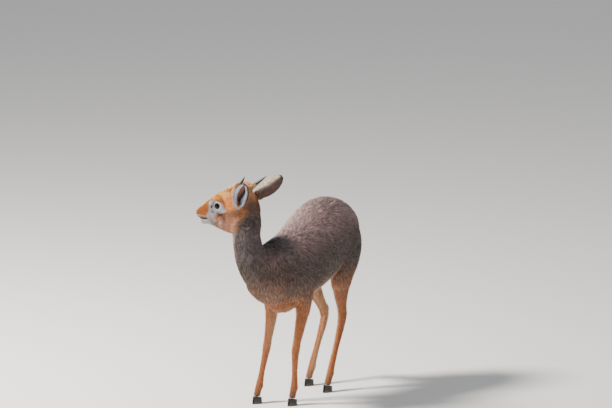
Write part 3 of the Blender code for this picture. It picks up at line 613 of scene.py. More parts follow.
def shaded(nodes, links, source, dark, pale, low=0.0, high=1.0):
    """A colour from dark to pale, as source goes from low to high."""
    steps = nodes.new("ShaderNodeValToRGB")
    for stop, colour, at in zip(steps.color_ramp.elements, (dark, pale), (low, high)):
        stop.color = (*linear(colour), 1)
        stop.position = at
    links.new(source, steps.inputs["Fac"])
    return steps.outputs["Color"]


def bumped(nodes, links, source, shader, strength, distance):
    bump = nodes.new("ShaderNodeBump")
    set_sockets(bump, Strength=strength, Distance=distance)
    links.new(source, bump.inputs["Height"])
    links.new(bump.outputs["Normal"], shader.inputs["Normal"])


def fur_material(name, roughness, streak_scale, streak_depth, bump_height):
    """Hair: the piece's own colours, broken by fine streaks, and a soft bump of the same streaks."""
    material, nodes, links, shader, where = patterned_material(name)
    set_sockets(shader, Roughness=roughness, Specular_IOR_Level=0.30)
    set_sockets(shader, Sheen_Weight=0.18, Sheen_Roughness=0.45)
    own = nodes.new("ShaderNodeVertexColor")
    own.layer_name = "coat"
    streaks = noise(nodes, links, where, streak_scale, 3.0)
    shade = mapped(nodes, links, streaks, 0.3, 0.7, 1 - streak_depth, 1 + streak_depth)
    tint = nodes.new("ShaderNodeVectorMath")
    tint.operation = "SCALE"
    links.new(own.outputs["Color"], tint.inputs[0])
    links.new(shade, tint.inputs["Scale"])
    links.new(tint.outputs["Vector"], shader.inputs["Base Color"])
    bumped(nodes, links, streaks, shader, 0.5, bump_height)
    return material


HIDE_SHADE = 0.75
colours, _ = markings(on_skin, skin_normals)
colours = mixed(colours * HIDE_SHADE, BLACK_SKIN, lips_and_nostrils(on_skin))
paint(skin, colours)
skin.data.materials.clear()
skin.data.materials.append(fur_material("hide", 0.8, 900, 0.22, 0.0004))

# The ears: two large thin cups of skin, rolled shut at the root and open to the side. Outside grey, pale
# towards the front edge with painted light and dark towards the back edge with painted shade, with a dark
# rim; inside bare in the middle, where long pale hair stands in from both edges.
EAR_WIDTH, EAR_SKIN, EAR_BOW = 3.2, 0.15, 0.1
EAR_ROOTS = {"left": (0.2, 2.45, -0.1), "right": (0.0, -2.4, 0.4)}
EAR_TIPS = {"left": (-3.7, 4.6, 5.65), "right": (-6.45, -5.5, 4.6)}
EAR_MOUTHS = {"left": (-0.10, 0.97, -0.20), "right": (0.35, -0.85, -0.30)}
EAR_PLACES = (0.00, 0.12, 0.26, 0.42, 0.58, 0.74, 0.88, 0.95, 0.985)
EAR_HALF = (0.30, 0.46, 0.72, 0.95, 1.00, 0.93, 0.68, 0.44, 0.14)
EAR_ROLL = (150, 145, 128, 108, 92, 82, 74, 68, 64)
EAR_RINGS, EAR_STEPS = 40, 22


def ear_axes(key):
    root, tip = on_head(EAR_ROOTS[key]), on_head(EAR_TIPS[key])
    axis = (tip - root).normalized()
    mouth = head_turned(EAR_MOUTHS[key])
    mouth = (mouth - axis * mouth.dot(axis)).normalized()
    return root, tip, axis, mouth, axis.cross(mouth)


def smooth_row(places, values, at):
    """Values along the ear, joined by a smooth curve instead of straight pieces."""
    fine = np.linspace(0, 1, 400)
    row = np.interp(fine, places, values)
    kernel = np.hanning(41)
    padded = np.pad(row, 20, mode="reflect", reflect_type="odd")
    return np.interp(at, fine, np.convolve(padded, kernel / kernel.sum(), "valid"))


def ear_point(key, place, turn, inside=0.0):
    """A point of the ear's cup: place runs from root to tip, turn from -1 to 1 from edge to edge."""
    root, tip, _, mouth, across = ear_axes(key)
    wide = max(0.03, float(smooth_row(EAR_PLACES, EAR_HALF, place)))
    roll = math.radians(float(smooth_row(EAR_PLACES, EAR_ROLL, place)))
    radius = wide * EAR_WIDTH / 2 / math.sin(min(roll, math.pi / 2))
    middle = root.lerp(tip, place) + mouth * (0.55 * radius - EAR_BOW * math.sin(math.pi * place)) * 0.01
    spoke = across * math.sin(roll * turn) - mouth * math.cos(roll * turn)
    return middle + spoke * (radius - min(inside, radius * 0.6)) * 0.01, spoke


def ear_cup(key):
    points, faces, turns, places, walls = [], [], [], [], []
    around = 2 * EAR_STEPS
    for i in range(EAR_RINGS):
        place = 0.985 * i / (EAR_RINGS - 1)
        for wall, order in ((0, range(EAR_STEPS)), (1, range(EAR_STEPS - 1, -1, -1))):
            for k in order:
                turn = 2 * k / (EAR_STEPS - 1) - 1
                thin = EAR_SKIN * (1.0 - 0.35 * abs(turn) ** 3)
                points.append(ear_point(key, place, turn, thin * wall + 0.015)[0])
                turns.append(turn)
                places.append(place)
                walls.append(wall)
    for i in range(EAR_RINGS - 1):
        for k in range(around):
            a, b = i * around + k, i * around + (k + 1) % around
            faces.append((a, b, b + around, a + around))
    faces.append(tuple(range(around)))
    faces.append(tuple(range((EAR_RINGS - 1) * around, EAR_RINGS * around)))
    piece = closed_piece(f"ear_skin_{key}", points, faces)
    piece.data.shade_smooth()
    return piece, np.array(turns), np.array(places), np.array(walls)


# Painted light and painted shade of the ear's outside: its pale half and its dark half.
EAR_OUTSIDE_PAINTED_LIGHT = linear((192, 170, 154))
EAR_OUTSIDE_PAINTED_SHADE = linear((92, 70, 62))
EAR_RIM = linear((38, 32, 34))
EAR_PALE = linear((190, 190, 206))
EAR_BROWN = linear((122, 72, 56))
EAR_STREAK = linear((20, 15, 17))
EAR_HAIR = linear((226, 228, 242))
EAR_FRONT = {"left": 1, "right": -1}


def ear_colour(turn, place, wall):
    """Colour of the ear's skin by its place along and across the cup, with painted light and painted shade
    on the outside. turn is -1 at the ear's front edge.
    """
    turn, place, wall = (np.asarray(v, float) for v in (turn, place, wall))
    # Painted light towards the front edge of the outside, and painted shade towards the back edge.
    outside = mixed(np.tile(EAR_OUTSIDE_PAINTED_LIGHT, (len(turn), 1)), EAR_OUTSIDE_PAINTED_SHADE, ramp(turn, -0.32, 0.15))
    outside = mixed(outside, BROWN, 1 - ramp(place, 0.05, 0.30))
    from_streak = turn - np.interp(place, (0.1, 0.75), (-0.26, 0.16))
    inside = np.tile(EAR_PALE, (len(turn), 1))
    brown = ramp(from_streak, -0.66, -0.48) * (1 - ramp(from_streak, 0.02, 0.12))
    inside = mixed(inside, EAR_BROWN, brown)
    streak = ramp(-np.abs(from_streak), -0.22, -0.10) * (1 - ramp(place, 0.66, 0.84))
    inside = mixed(inside, EAR_STREAK, streak)
    colour = mixed(outside, inside, wall)
    front_edge = ramp(-turn, 0.90, 0.98) * (1 - 0.8 * wall)
    rim = np.maximum(np.maximum(ramp(turn, 0.86, 0.95), front_edge), ramp(place, 0.90, 0.96))
    return mixed(colour, EAR_RIM, rim * ramp(place, 0.3, 0.5))


def ear_material():
    """Thin skin with very short hair, which lets a little light through."""
    material = fur_material("ear_skin", 0.62, 1400, 0.14, 0.0002)
    shader = material.node_tree.nodes["Principled BSDF"]
    set_sockets(shader, Subsurface_Weight=0.08, Subsurface_Radius=(0.004, 0.0015, 0.001))
    return material


thin_skin = ear_material()
ear_parts = {}
for key in ("left", "right"):
    cup, turns, places, walls = ear_cup(key)
    paint(cup, ear_colour(turns * EAR_FRONT[key], places, walls))
    cup.data.materials.append(thin_skin)
    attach(cup, "root")
    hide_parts(f"ear_{key}")
    ear_parts[key] = cup

# The eyes: large dark balls, wet and glossy, each behind an almond opening. Its lids are a thin shell of
# skin over the ball, with a thick black rim, and dark lashes on the upper lid.
EYE_RADIUS = 1.0
EYE_CENTRE = (5.0, 1.90, 0.30)
EYE_LOOK = (0.20, 0.97, 0.10)
EYE_OPENING = (0.76, 0.53)
EYE_SLANT = math.radians(14)


def eye_axes(side):
    look = head_turned((EYE_LOOK[0], side * EYE_LOOK[1], EYE_LOOK[2]))
    level = head_turned((1, 0, 0))
    along = (level - look * level.dot(look)).normalized()
    up = look.cross(along) * (1 if look.cross(along).dot(head_up) > 0 else -1)
    turned_along = along * math.cos(EYE_SLANT) - up * math.sin(EYE_SLANT)
    return turned_along, up * math.cos(EYE_SLANT) + along * math.sin(EYE_SLANT), look


def eye_centre(side):
    return on_head((EYE_CENTRE[0], side * EYE_CENTRE[1], EYE_CENTRE[2]))


def lid_point(side, angle, out, radius):
    """A point of the lids: angle runs round the opening, out from its edge (0) to the shell's edge (1)."""
    along, up, look = eye_axes(side)
    c, s = math.cos(angle), math.sin(angle)
    edge = Vector((EYE_OPENING[0] * c, EYE_OPENING[1] * math.copysign(abs(s) ** 1.25, s)))
    far = Vector((1.12 * c, 1.12 * s))
    flat = edge.lerp(far, out)
    flat_length = min(flat.length, 1.5)
    polar = flat_length / EYE_RADIUS
    direction = (along * flat.x + up * flat.y).normalized()
    return eye_centre(side) + (look * math.cos(polar) + direction * math.sin(polar)) * radius * 0.01


def eyelids(name, side):
    count = 56
    profile = [(0.0, 1.012), (-0.035, 1.045), (-0.03, 1.085), (0.05, 1.115), (0.16, 1.125), (0.35, 1.125),
               (0.6, 1.11), (0.85, 1.07), (1.1, 0.98), (1.0, 0.90), (0.5, 0.96), (0.15, 1.005)]
    points, faces, shares = [], [], []
    for out, radius in profile:
        for k in range(count):
            points.append(lid_point(side, 2 * math.pi * k / count, out, radius * EYE_RADIUS))
            shares.append(out)
    rows = len(profile)
    for i in range(rows):
        for k in range(count):
            a, b = i * count + k, i * count + (k + 1) % count
            c, d = (i + 1) % rows * count + k, (i + 1) % rows * count + (k + 1) % count
            faces.append((a, b, d, c))
    piece = closed_piece(name, points, faces)
    piece.data.shade_smooth()
    shares = np.array(shares)
    colours = mixed(np.tile(RING * 0.8, (len(shares), 1)), BLACK_SKIN, 1 - ramp(shares, 0.10, 0.24))
    paint(piece, colours)
    return piece


lid_skin = fur_material("lids", 0.5, 1600, 0.12, 0.0002)
eye_wet, nodes, links, shader, where = patterned_material("wet_eye")
set_sockets(shader, Roughness=0.03, Specular_IOR_Level=0.07)
iris = shaded(nodes, links, noise(nodes, links, where, 260), (7, 5, 5), (30, 17, 11), 0.42, 0.75)
links.new(iris, shader.inputs["Base Color"])
for key, side in (("left", 1), ("right", -1)):
    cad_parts[f"eye_{key}"].data.materials.clear()
    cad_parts[f"eye_{key}"].data.materials.append(eye_wet)
    lids = eyelids(f"eyelids_{key}", side)
    lids.data.materials.append(lid_skin)
    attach(lids, "root")

# The horns: short black spikes of keratin, ringed over the lower half and smooth at the tip. Each is drawn
# out of a round, ring by ring.
HORN_RADIUS, HORN_TIP = 0.60, 0.10
HORN_ROOTS = {"left": (1.7, 1.2, 2.8), "right": (1.6, -1.6, 2.3)}
HORN_TIPS = {"left": (-2.45, 2.3, 6.65), "right": (-4.5, -2.7, 5.45)}
HORN_STEPS, HORN_SIDES = 56, 20


def horn_line(key, t):
    root, tip = Vector(HORN_ROOTS[key]), Vector(HORN_TIPS[key])
    return on_head(root.lerp(tip, t) - Vector((0, 0, 0.28)) * math.sin(math.pi * t))


def horn_radius(t):
    ringed = max(0.0, math.sin(t * 2 * math.pi * 15.5)) ** 0.7 * (1 - min(1.0, max(0.0, (t - 0.45) / 0.2)))
    return (HORN_RADIUS * (1 - t) ** 0.85 + HORN_TIP * (1 - 0.7 * t ** 6) + 0.035 * ringed - 0.01) * 0.01


keratin, nodes, links, shader, where = patterned_material("horn_keratin")
fibres = noise(nodes, links, where, 420, 4)
links.new(shaded(nodes, links, fibres, (20, 18, 18), (66, 58, 54), 0.40, 0.78), shader.inputs["Base Color"])
links.new(mapped(nodes, links, fibres, 0, 1, 0.30, 0.62), shader.inputs["Roughness"])
bumped(nodes, links, fibres, shader, 0.4, 0.0003)

for key in ("left", "right"):
    start, then = horn_line(key, 0), horn_line(key, 1 / HORN_STEPS)
    bpy.ops.object.select_all(action="DESELECT")
    turned = (then - start).to_track_quat("Z", "Y").to_euler()
    bpy.ops.mesh.primitive_circle_add(vertices=HORN_SIDES, radius=horn_radius(0), fill_type="NGON",
                                      location=start, rotation=turned)
    horn = bpy.context.object
    horn.name = horn.data.name = f"ringed_horn_{key}"
    bpy.ops.object.mode_set(mode="EDIT")
    for i in range(1, HORN_STEPS + 1):
        here, before = horn_line(key, i / HORN_STEPS), horn_line(key, (i - 1) / HORN_STEPS)
        bpy.ops.mesh.extrude_region_move(TRANSFORM_OT_translate={"value": here - before})
        grow = horn_radius(i / HORN_STEPS) / horn_radius((i - 1) / HORN_STEPS)
        bpy.ops.transform.resize(value=(grow, grow, grow), center_override=here)
    bpy.ops.mesh.select_all(action="SELECT")
    bpy.ops.mesh.normals_make_consistent(inside=False)
    bpy.ops.object.mode_set(mode="OBJECT")
    alone(horn)
    bpy.ops.object.transform_apply(location=True, rotation=True, scale=True)
    bpy.ops.object.shade_smooth_by_angle(angle=math.radians(50))
    horn.data.materials.append(keratin)
    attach(horn, "root")
    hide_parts(f"horn_{key}")

# The hooves: two small pointed claws to a foot, of dark keratin with fine growth lines round them and paler,
# worn edges at the ground.
hoof, nodes, links, shader, where = patterned_material("hoof_keratin")
growth = nodes.new("ShaderNodeTexWave")
growth.wave_type, growth.bands_direction = "BANDS", "Z"
set_sockets(growth, Scale=180, Distortion=3.0, Detail=3.0)
links.new(where, growth.inputs["Vector"])
growth_lines = growth.outputs["Fac"]
apart = nodes.new("ShaderNodeSeparateXYZ")
links.new(where, apart.inputs["Vector"])
worn = mapped(nodes, links, apart.outputs["Z"], 0.0, 0.006, 0.55, 0.0)
edge_mix = nodes.new("ShaderNodeMix")
edge_mix.data_type = "RGBA"
set_sockets(edge_mix, B=(*linear((112, 98, 84)), 1))
links.new(worn, edge_mix.inputs["Factor"])
links.new(shaded(nodes, links, growth_lines, (26, 22, 20), (58, 48, 42)), edge_mix.inputs["A"])
links.new(edge_mix.outputs["Result"], shader.inputs["Base Color"])
links.new(mapped(nodes, links, growth_lines, 0, 1, 0.35, 0.60), shader.inputs["Roughness"])
bumped(nodes, links, growth_lines, shader, 0.35, 0.0003)
HOOF_EDGE = 0.0008
for leg in LEGS:
    for side in ("left", "right"):
        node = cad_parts[f"{leg}_claw_{side}"]
        claw = merged_copy(f"hoof_{leg}_{side}", node)
        alone(claw)
        bpy.ops.object.mode_set(mode="EDIT")
        bpy.ops.mesh.select_all(action="SELECT")
        bpy.ops.mesh.tris_convert_to_quads()
        bpy.ops.object.mode_set(mode="OBJECT")
        apply_step(claw, "BEVEL", width=HOOF_EDGE, segments=3, limit_method="ANGLE",
                   angle_limit=math.radians(35))
        bpy.ops.object.shade_smooth_by_angle(angle=math.radians(50))
        claw.data.materials.append(hoof)
        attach(claw, "root")
        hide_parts(node.name)

# The coat: thousands of thin tapered tufts that grow from the skin, lie along the body and overlap. They
# are longest on rump, neck and tail, short on the face, and shortest on nose, ears and feet.
CHART_TRIANGLES = 9000
chart = skin.copy()
chart.data = skin.data.copy()
chart.name = "chart"
bpy.context.scene.collection.objects.link(chart)
apply_step(chart, "DECIMATE", ratio=CHART_TRIANGLES / len(chart.data.polygons))
alone(chart)
bpy.ops.object.mode_set(mode="EDIT")
bpy.ops.mesh.select_all(action="SELECT")
bpy.ops.uv.smart_project(angle_limit=math.radians(66), island_margin=0.004)
bpy.ops.object.mode_set(mode="OBJECT")
chart_points = points_of(chart)
chart_corners = np.array([tuple(f.vertices) for f in chart.data.polygons])
chart_tree = BVHTree.FromPolygons([Vector(p) for p in chart_points], chart_corners.tolist())
chart_uv = read(chart.data.uv_layers.active.data, "uv", 2).reshape(-1, 3, 2)
bpy.data.objects.remove(chart)


def unwrapped(points):
    """Each point's place on the unwrap of the skin."""
    face = np.array([chart_tree.find_nearest(Vector(p))[2] for p in points])
    a, b, c = (chart_points[chart_corners[face, k]] for k in range(3))
    ab, ac, ap = b - a, c - a, points - a
    d00, d01, d11 = (ab * ab).sum(1), (ab * ac).sum(1), (ac * ac).sum(1)
    d20, d21 = (ap * ab).sum(1), (ap * ac).sum(1)
    under = np.maximum(d00 * d11 - d01 * d01, 1e-18)
    v = np.clip((d11 * d20 - d01 * d21) / under, 0, 1)
    w = np.clip((d00 * d21 - d01 * d20) / under, 0, 1)
    u = np.clip(1 - v - w, 0, 1)
    total = (u + v + w)[:, None]
    uv = chart_uv[face]
    return (uv[:, 0] * u[:, None] + uv[:, 1] * v[:, None] + uv[:, 2] * w[:, None]) / total


TUFT_PATCH = 0.003


def unit(vectors):
    return vectors / np.maximum(np.linalg.norm(vectors, axis=-1), 1e-9)[..., None]


def blade_faces(rings):
    """Triangles of a closed three-sided blade: rings of three points, and then one tip."""
    faces = [(0, 2, 1)]
    for i in range(rings - 1):
        for k in range(3):
            a, b = 3 * i + k, 3 * i + (k + 1) % 3
            faces += [(a, b, b + 3), (a, b + 3, a + 3)]
    last = 3 * (rings - 1)
    faces += [(last + k, last + (k + 1) % 3, last + 3) for k in range(3)]
    return np.array(faces, np.int32)


def tufts(name, paths, up, wide, shares, colours, uv, material):
    """Closed tapered blades. paths are rings and tip of each, shares the rings' widths over wide."""
    paths, up = np.array(paths, float), np.array(up, float)
    count, stops = paths.shape[:2]
    rings = stops - 1
    size = 3 * rings + 1
    ahead = unit(paths[:, 1:] - paths[:, :-1])
    across = unit(np.cross(up[:, None], ahead))
    over = np.cross(ahead, across)
    points = np.empty((count, size, 3))
    shade = np.empty((count, size, 3))
    for ring in range(rings):
        half = (wide * shares[ring] / 2)[:, None]
        for k, (aside, above) in enumerate(((-1, 0), (1, 0), (0, 0.8))):
            away = across[:, ring] * half * aside + over[:, ring] * half * above
            points[:, 3 * ring + k] = paths[:, ring] + away
            shade[:, 3 * ring + k] = colours[:, ring]
    points[:, -1] = paths[:, -1]
    shade[:, -1] = colours[:, -1]
    first = size * np.arange(count, dtype=np.int32)
    corners = (blade_faces(rings)[None] + first[:, None, None]).reshape(-1, 3)
    mesh = bpy.data.meshes.new(name)
    mesh.vertices.add(count * size)
    mesh.vertices.foreach_set("co", points.astype(np.float32).ravel())
    mesh.loops.add(corners.size)
    mesh.loops.foreach_set("vertex_index", corners.ravel())
    mesh.polygons.add(len(corners))
    mesh.polygons.foreach_set("loop_start", np.arange(0, corners.size, 3, dtype=np.int32))
    mesh.update(calc_edges=True)
    piece = new_piece(name, mesh)
    paint(piece, shade.reshape(-1, 3))
    spots = np.zeros((size, 2))
    for ring in range(rings):
        for k in range(3):
            spots[3 * ring + k] = (k / 2, ring / rings)
    spots[-1] = (0.5, 1.0)
    layer = mesh.uv_layers.new(name="OFBake")
    in_patch = (uv[:, None] + (spots[None] - 0.5) * TUFT_PATCH).reshape(-1, 2)
    layer.data.foreach_set("uv", in_patch[corners.ravel()].astype(np.float32).ravel())
    mesh.shade_smooth()
    mesh.materials.append(material)
    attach(piece, "root")
    return piece


layers = skin.data.attributes
lie = read(layers["lie"].data, "vector", 3).astype(float)
length, depth = (read(layers[name].data, "value").astype(float) for name in ("hair", "depth"))
corners = np.array([tuple(f.vertices) for f in skin.data.polygons])
owner = owner_of_vertex[[finder.find(p)[1] for p in on_skin]]
skin_tree = BVHTree.FromPolygons([Vector(p) for p in on_skin], corners.tolist())
EYE_CLEARANCE, MOST_BARE, STEEP, LONG_HAIR = 0.0108, 0.35, 0.42, 0.52
edge_a = on_skin[corners[:, 1]] - on_skin[corners[:, 0]]
edge_b = on_skin[corners[:, 2]] - on_skin[corners[:, 0]]
area = np.linalg.norm(np.cross(edge_a, edge_b), axis=1) / 2
width = 0.035 + 0.055 * length
need = 1 / (length * width)
face_place = head_cm(on_skin)[corners].mean(1)
face_spot = body_cm(on_skin)[corners].mean(1)
face_normal = unit(np.cross(edge_a, edge_b))
face_owner = np.array(FLESH)[owner[corners[:, 0]]]
face_need = area * need[corners].mean(1)
face_middle = on_skin[corners].mean(1)
from_eyes = np.min([np.linalg.norm(face_middle - e, axis=1) for e in eye_places], axis=0)
face_need *= (from_eyes > EYE_CLEARANCE) * (lips_and_nostrils(face_middle) < MOST_BARE)

coat_fur = fur_material("coat_fur", 0.62, 700, 0.16, 0.0002)
draw = np.random.default_rng(7)
CLUMP = 0.0032
PALE_TIP = linear((186, 160, 142))


def clumps(points):
    """A number of -1 to 1 for each small cell, so that tufts which grow together share a shade."""
    cell = np.floor((points + draw.normal(0, 0.0006, points.shape)) / CLUMP).astype(np.int64)
    jumbled = (cell[:, 0] * 73856093) ^ (cell[:, 1] * 19349663) ^ (cell[:, 2] * 83492791)
    return (jumbled % 1009) / 504.0 - 1


def varied(colour, spread, count):
    """A colour for each of count tufts, lighter or darker by chance."""
    return colour * np.exp(draw.normal(0, spread, count))[:, None]


def shades_of(base, *shares):
    """Colours from root to tip: a share of the tuft's own, or a colour given for it."""
    rows = [base * share if isinstance(share, float) else share for share in shares]
    return np.clip(np.stack(rows, 1), 0, 1)


def grow(name, where, count, slot, bent=True):
    """Tufts on the faces that where marks. Long ones are bent, and short ones are straight."""
    weight = face_need * where
    at = (np.arange(count) + draw.random(count)) / count * weight.sum()
    face = np.minimum(np.searchsorted(np.cumsum(weight), at), len(weight) - 1)
    b, c = draw.random(count), draw.random(count)
    over = b + c > 1
    b, c = np.where(over, 1 - b, b), np.where(over, 1 - c, c)
    share = np.stack([1 - b - c, b, c], 1)[..., None]

    def at_root(values):
        return (values[corners[face]] * (share if values.ndim == 2 else share[..., 0])).sum(1)

    roots, up = at_root(on_skin), unit(at_root(skin_normals))
    along = at_root(lie)
    along = unit(along - up * (along * up).sum(1)[:, None])
    turn = draw.normal(0, 0.20, count)[:, None]
    along = unit(along * np.cos(turn) + np.cross(up, along) * np.sin(turn))
    long = at_root(length) * 0.01 * draw.uniform(0.70, 1.20, count)
    lift = (at_root(depth) * 0.01 * draw.uniform(0.45, 1.25, count) + 0.0004)[:, None]
    wide = at_root(width) * 0.01 * draw.uniform(0.8, 1.25, count)
    ends = roots + along * long[:, None]
    near = [skin_tree.find_nearest(Vector(p)) for p in ends]
    ends = np.array([n[0] for n in near]) + np.array([n[1] for n in near]) * lift
    middle = roots * 0.55 + ends * 0.45 + up * lift * 0.30
    base, grizzle = markings(roots + draw.normal(0, 0.0008, roots.shape), up)
    base = base * np.exp(draw.normal(0, 0.10, count) + clumps(roots) * (0.17 + 0.45 * grizzle))[:, None]
    kind = draw.random(count)
    pale = (kind < 0.42 * grizzle)[:, None]
    dark = (kind > 1 - 0.38 * grizzle)[:, None]
    tip = np.where(dark, base * 0.24, base * 1.12)
    tip = np.where(pale, base * 0.45 + PALE_TIP * 0.55, tip)
    band = np.where(pale, base * 1.15, np.where(dark, base * 0.62, base))
    if bent:
        paths, shares, shades = (roots - up * 0.0004, middle, ends), (0.8, 1.0), (base * 0.55, band, tip)
    else:
        paths, shares, shades = (roots - up * 0.0004, ends), (0.75,), (band * 0.86, tip)
    colours = np.clip(np.stack(shades, 1), 0, 1)
    return tufts(name, np.stack(paths, 1), up, wide, shares, colours, unwrapped(roots), coat_fur)


above = face_normal[:, 2] > STEEP
below = face_normal[:, 2] < -STEEP
on_trunk = face_owner == "torso"
on_head_skin = face_owner == "head"
long_haired = length[corners].mean(1) > LONG_HAIR
left_side = face_place[:, 1] > 0
grow("coat_face_left", on_head_skin & ~long_haired & left_side, 34000, "coat_tawny", bent=False)
grow("coat_face_right", on_head_skin & ~long_haired & ~left_side, 34000, "coat_tawny", bent=False)
grow("coat_cheek_left", on_head_skin & long_haired & left_side, 9000, "coat_tawny")
grow("coat_cheek_right", on_head_skin & long_haired & ~left_side, 9000, "coat_tawny")
grow("coat_neck", face_owner == "neck", 15000, "coat_neck")
grow("coat_back", on_trunk & above, 17500, "coat_back")
grow("coat_flank_left", on_trunk & ~above & ~below & (face_spot[:, 0] > 0), 17000, "coat_back")
grow("coat_flank_right", on_trunk & ~above & ~below & (face_spot[:, 0] <= 0), 17000, "coat_back")
grow("coat_belly", on_trunk & below, 6500, "coat_tawny")
grow("coat_tail", face_owner == "tail", 2200, "coat_back")
for leg in LEGS:
    grow(f"coat_{leg}", np.char.startswith(face_owner, leg), 11000, "coat_tawny", bent=False)

# The crest: a brush of long tawny hair between the horns, from the forehead to behind the ears. Its locks
# stand up, lean back and cross one another, with darker tips.
CREST_COUNT = 950
forward = draw.uniform(-1.4, 4.6, CREST_COUNT)
aside = draw.normal(0, 0.75, CREST_COUNT) * np.interp(forward, (-1.4, 1.0, 4.6), (0.9, 1.1, 0.6))
aside = np.clip(aside, -1.6, 1.6)
root_places = np.stack([forward, aside, scalp_top(forward, aside) - 0.16], 1)
long = draw.uniform(1.3, 2.45, CREST_COUNT)
long = long * np.interp(forward, (-1.4, 0.5, 3.0, 4.6), (0.75, 1.0, 1.0, 0.55))
lean = np.stack([-1.0 + draw.normal(0, 0.12, CREST_COUNT), aside * 0.20 + draw.normal(0, 0.14, CREST_COUNT),
                 0.22 + draw.normal(0, 0.10, CREST_COUNT)], 1)
lean = unit(lean)
stops = np.array([0.0, 0.22, 0.5, 0.78, 1.0])
bow = 0.42 * np.sin(np.pi * 0.66 * stops)
crest_paths = root_places[:, None] + lean[:, None] * (long[:, None] * stops)[..., None]
crest_paths[..., 2] += bow[None] * (long / 2.3)[:, None]
crest_paths = np.array(head_middle) + crest_paths @ HEAD_AXES * 0.01
crest_up = np.tile(np.array(head_up), (CREST_COUNT, 1))
base = varied(linear((222, 170, 116)), 0.22, CREST_COUNT)
tips = np.where((draw.random(CREST_COUNT) < 0.35)[:, None], base * 0.35, base * 1.15)
tufts("crest", crest_paths, crest_up, draw.uniform(0.0007, 0.0013, CREST_COUNT), (0.7, 1.0, 0.95, 0.6),
      shades_of(base, 0.55, 0.8, 1.0, 1.05, tips), unwrapped(crest_paths[:, 0]), coat_fur)

# The hair round the horns: tawny tufts in front and at the sides of each horn, which stand along it and
# hide its base.
HORN_HAIRS = 560
for key in ("left", "right"):
    count = HORN_HAIRS
    foot, top = Vector(HORN_ROOTS[key]), Vector(HORN_TIPS[key])
    axis = (top - foot).normalized()
    fore = (Vector((1, 0, 0)) - axis * axis.x).normalized()
    aside = axis.cross(fore)
    angle = draw.uniform(-2.5, 2.5, count)
    far = draw.uniform(0.62, 1.15, count)
    spokes = np.outer(np.cos(angle), fore) + np.outer(np.sin(angle), aside)
    centre = foot + axis * 0.72
    roots = np.array(centre) + spokes * far[:, None]
    roots[:, 2] = scalp_top(roots[:, 0], np.clip(roots[:, 1], -2.6, 2.6)) - 0.15
    long = draw.uniform(1.3, 2.3, count) * np.interp(np.abs(angle), (0, 2.2, 3.2), (1.0, 0.75, 0.5))
    way = np.array(axis) + spokes * draw.uniform(-0.05, 0.22, count)[:, None]
    way = unit(way + draw.normal(0, 0.07, (count, 3)))
    stops = np.array([0.0, 0.35, 0.7, 1.0])
    collar = roots[:, None] + way[:, None] * (long[:, None] * stops)[..., None]
    collar -= spokes[:, None] * (0.28 * stops**2)[None, :, None]
    collar = np.array(head_middle) + collar @ HEAD_AXES * 0.01
    base = varied(linear((220, 164, 108)), 0.20, count)
    tips = np.where((draw.random(count) < 0.25)[:, None], base * 0.4, base * 1.15)
    tufts(f"horn_hair_{key}", collar, spokes @ HEAD_AXES, draw.uniform(0.0007, 0.0012, count),
          (0.8, 1.0, 0.75), shades_of(base, 0.6, 0.85, 1.0, tips), unwrapped(collar[:, 0]),
          coat_fur)

# The ears' hair: a nap of very short grey hair outside, and long pale hair that stands into the cup from
# both edges and leaves a bare dark streak in the middle.
ear_hair = fur_material("ear_hair", 0.6, 900, 0.12, 0.0002)


def ear_nap(key):
    count = 3000
    place, turn = draw.random(count) ** 0.8 * 0.96, draw.uniform(-0.99, 0.99, count)
    paths, ups = [], []
    reach = draw.uniform(0.0022, 0.0042, count)
    for p, t, r in zip(place, turn, reach):
        root, spoke = ear_point(key, p, t, 0.02)
        ahead = (ear_point(key, min(0.985, p + 0.05), t, 0.02)[0] - root).normalized()
        paths.append([root - spoke * 0.0003, root + ahead * r * 0.5 + spoke * 0.0003,
                      root + ahead * r + spoke * 0.0004])
        ups.append(spoke)
    # The nap takes the outside's colours, with their painted light and painted shade.
    base = varied(ear_colour(turn * EAR_FRONT[key], place, np.zeros(count)), 0.22, count)
    uv = np.stack([0.25 + 0.2 * turn, place * 0.9 + 0.05], 1)
    tufts(f"ear_nap_{key}", paths, ups, draw.uniform(0.0005, 0.0008, count), (0.8, 1.0),
          shades_of(base, 0.7, 1.0, 1.2), uv, ear_hair)


def ear_fringe(name, key, count, low, high, reach, way_in):
    """Long pale hair from both edges of the ear, between two places along it, over the cup's mouth."""
    place = draw.uniform(low, high, count)
    side = np.where(draw.random(count) < 0.5, -1.0, 1.0)
    turn = side * draw.uniform(0.55, 0.98, count)
    mouth = ear_axes(key)[3]
    paths, ups = [], []
    reach = reach * draw.uniform(0.6, 1.25, count) * np.interp(place, (0.1, 0.5, 0.93), (1.0, 1.0, 0.45))
    for p, t, r in zip(place, turn, reach):
        root, spoke = ear_point(key, p, t, EAR_SKIN - 0.02)
        ahead = (ear_point(key, min(0.985, p + 0.05), t, EAR_SKIN)[0] - root).normalized()
        way = (ahead * 0.85 - spoke * 0.30 + mouth * way_in + Vector(draw.normal(0, 0.10, 3))).normalized()
        paths.append([root + spoke * 0.0004, root + way * r * 0.33 - spoke * 0.0012,
                      root + way * r * 0.68 - spoke * 0.0014, root + way * r])
        ups.append(-spoke)
    base = varied(EAR_HAIR, 0.12, count)
    uv = np.stack([0.75 + 0.2 * turn, place * 0.9 + 0.05], 1)
    tufts(name, paths, ups, draw.uniform(0.0005, 0.0009, count), (0.8, 1.0, 0.7),
          shades_of(base, 0.7, 0.9, 1.0, 1.05), uv, ear_hair)


for key in ("left", "right"):
    ear_nap(key)
    ear_fringe(f"ear_fringe_{key}", key, 1250, 0.10, 0.93, 0.0095, 0.15)
    ear_fringe(f"ear_root_hair_{key}", key, 300, 0.0, 0.15, 0.0110, 0.45)

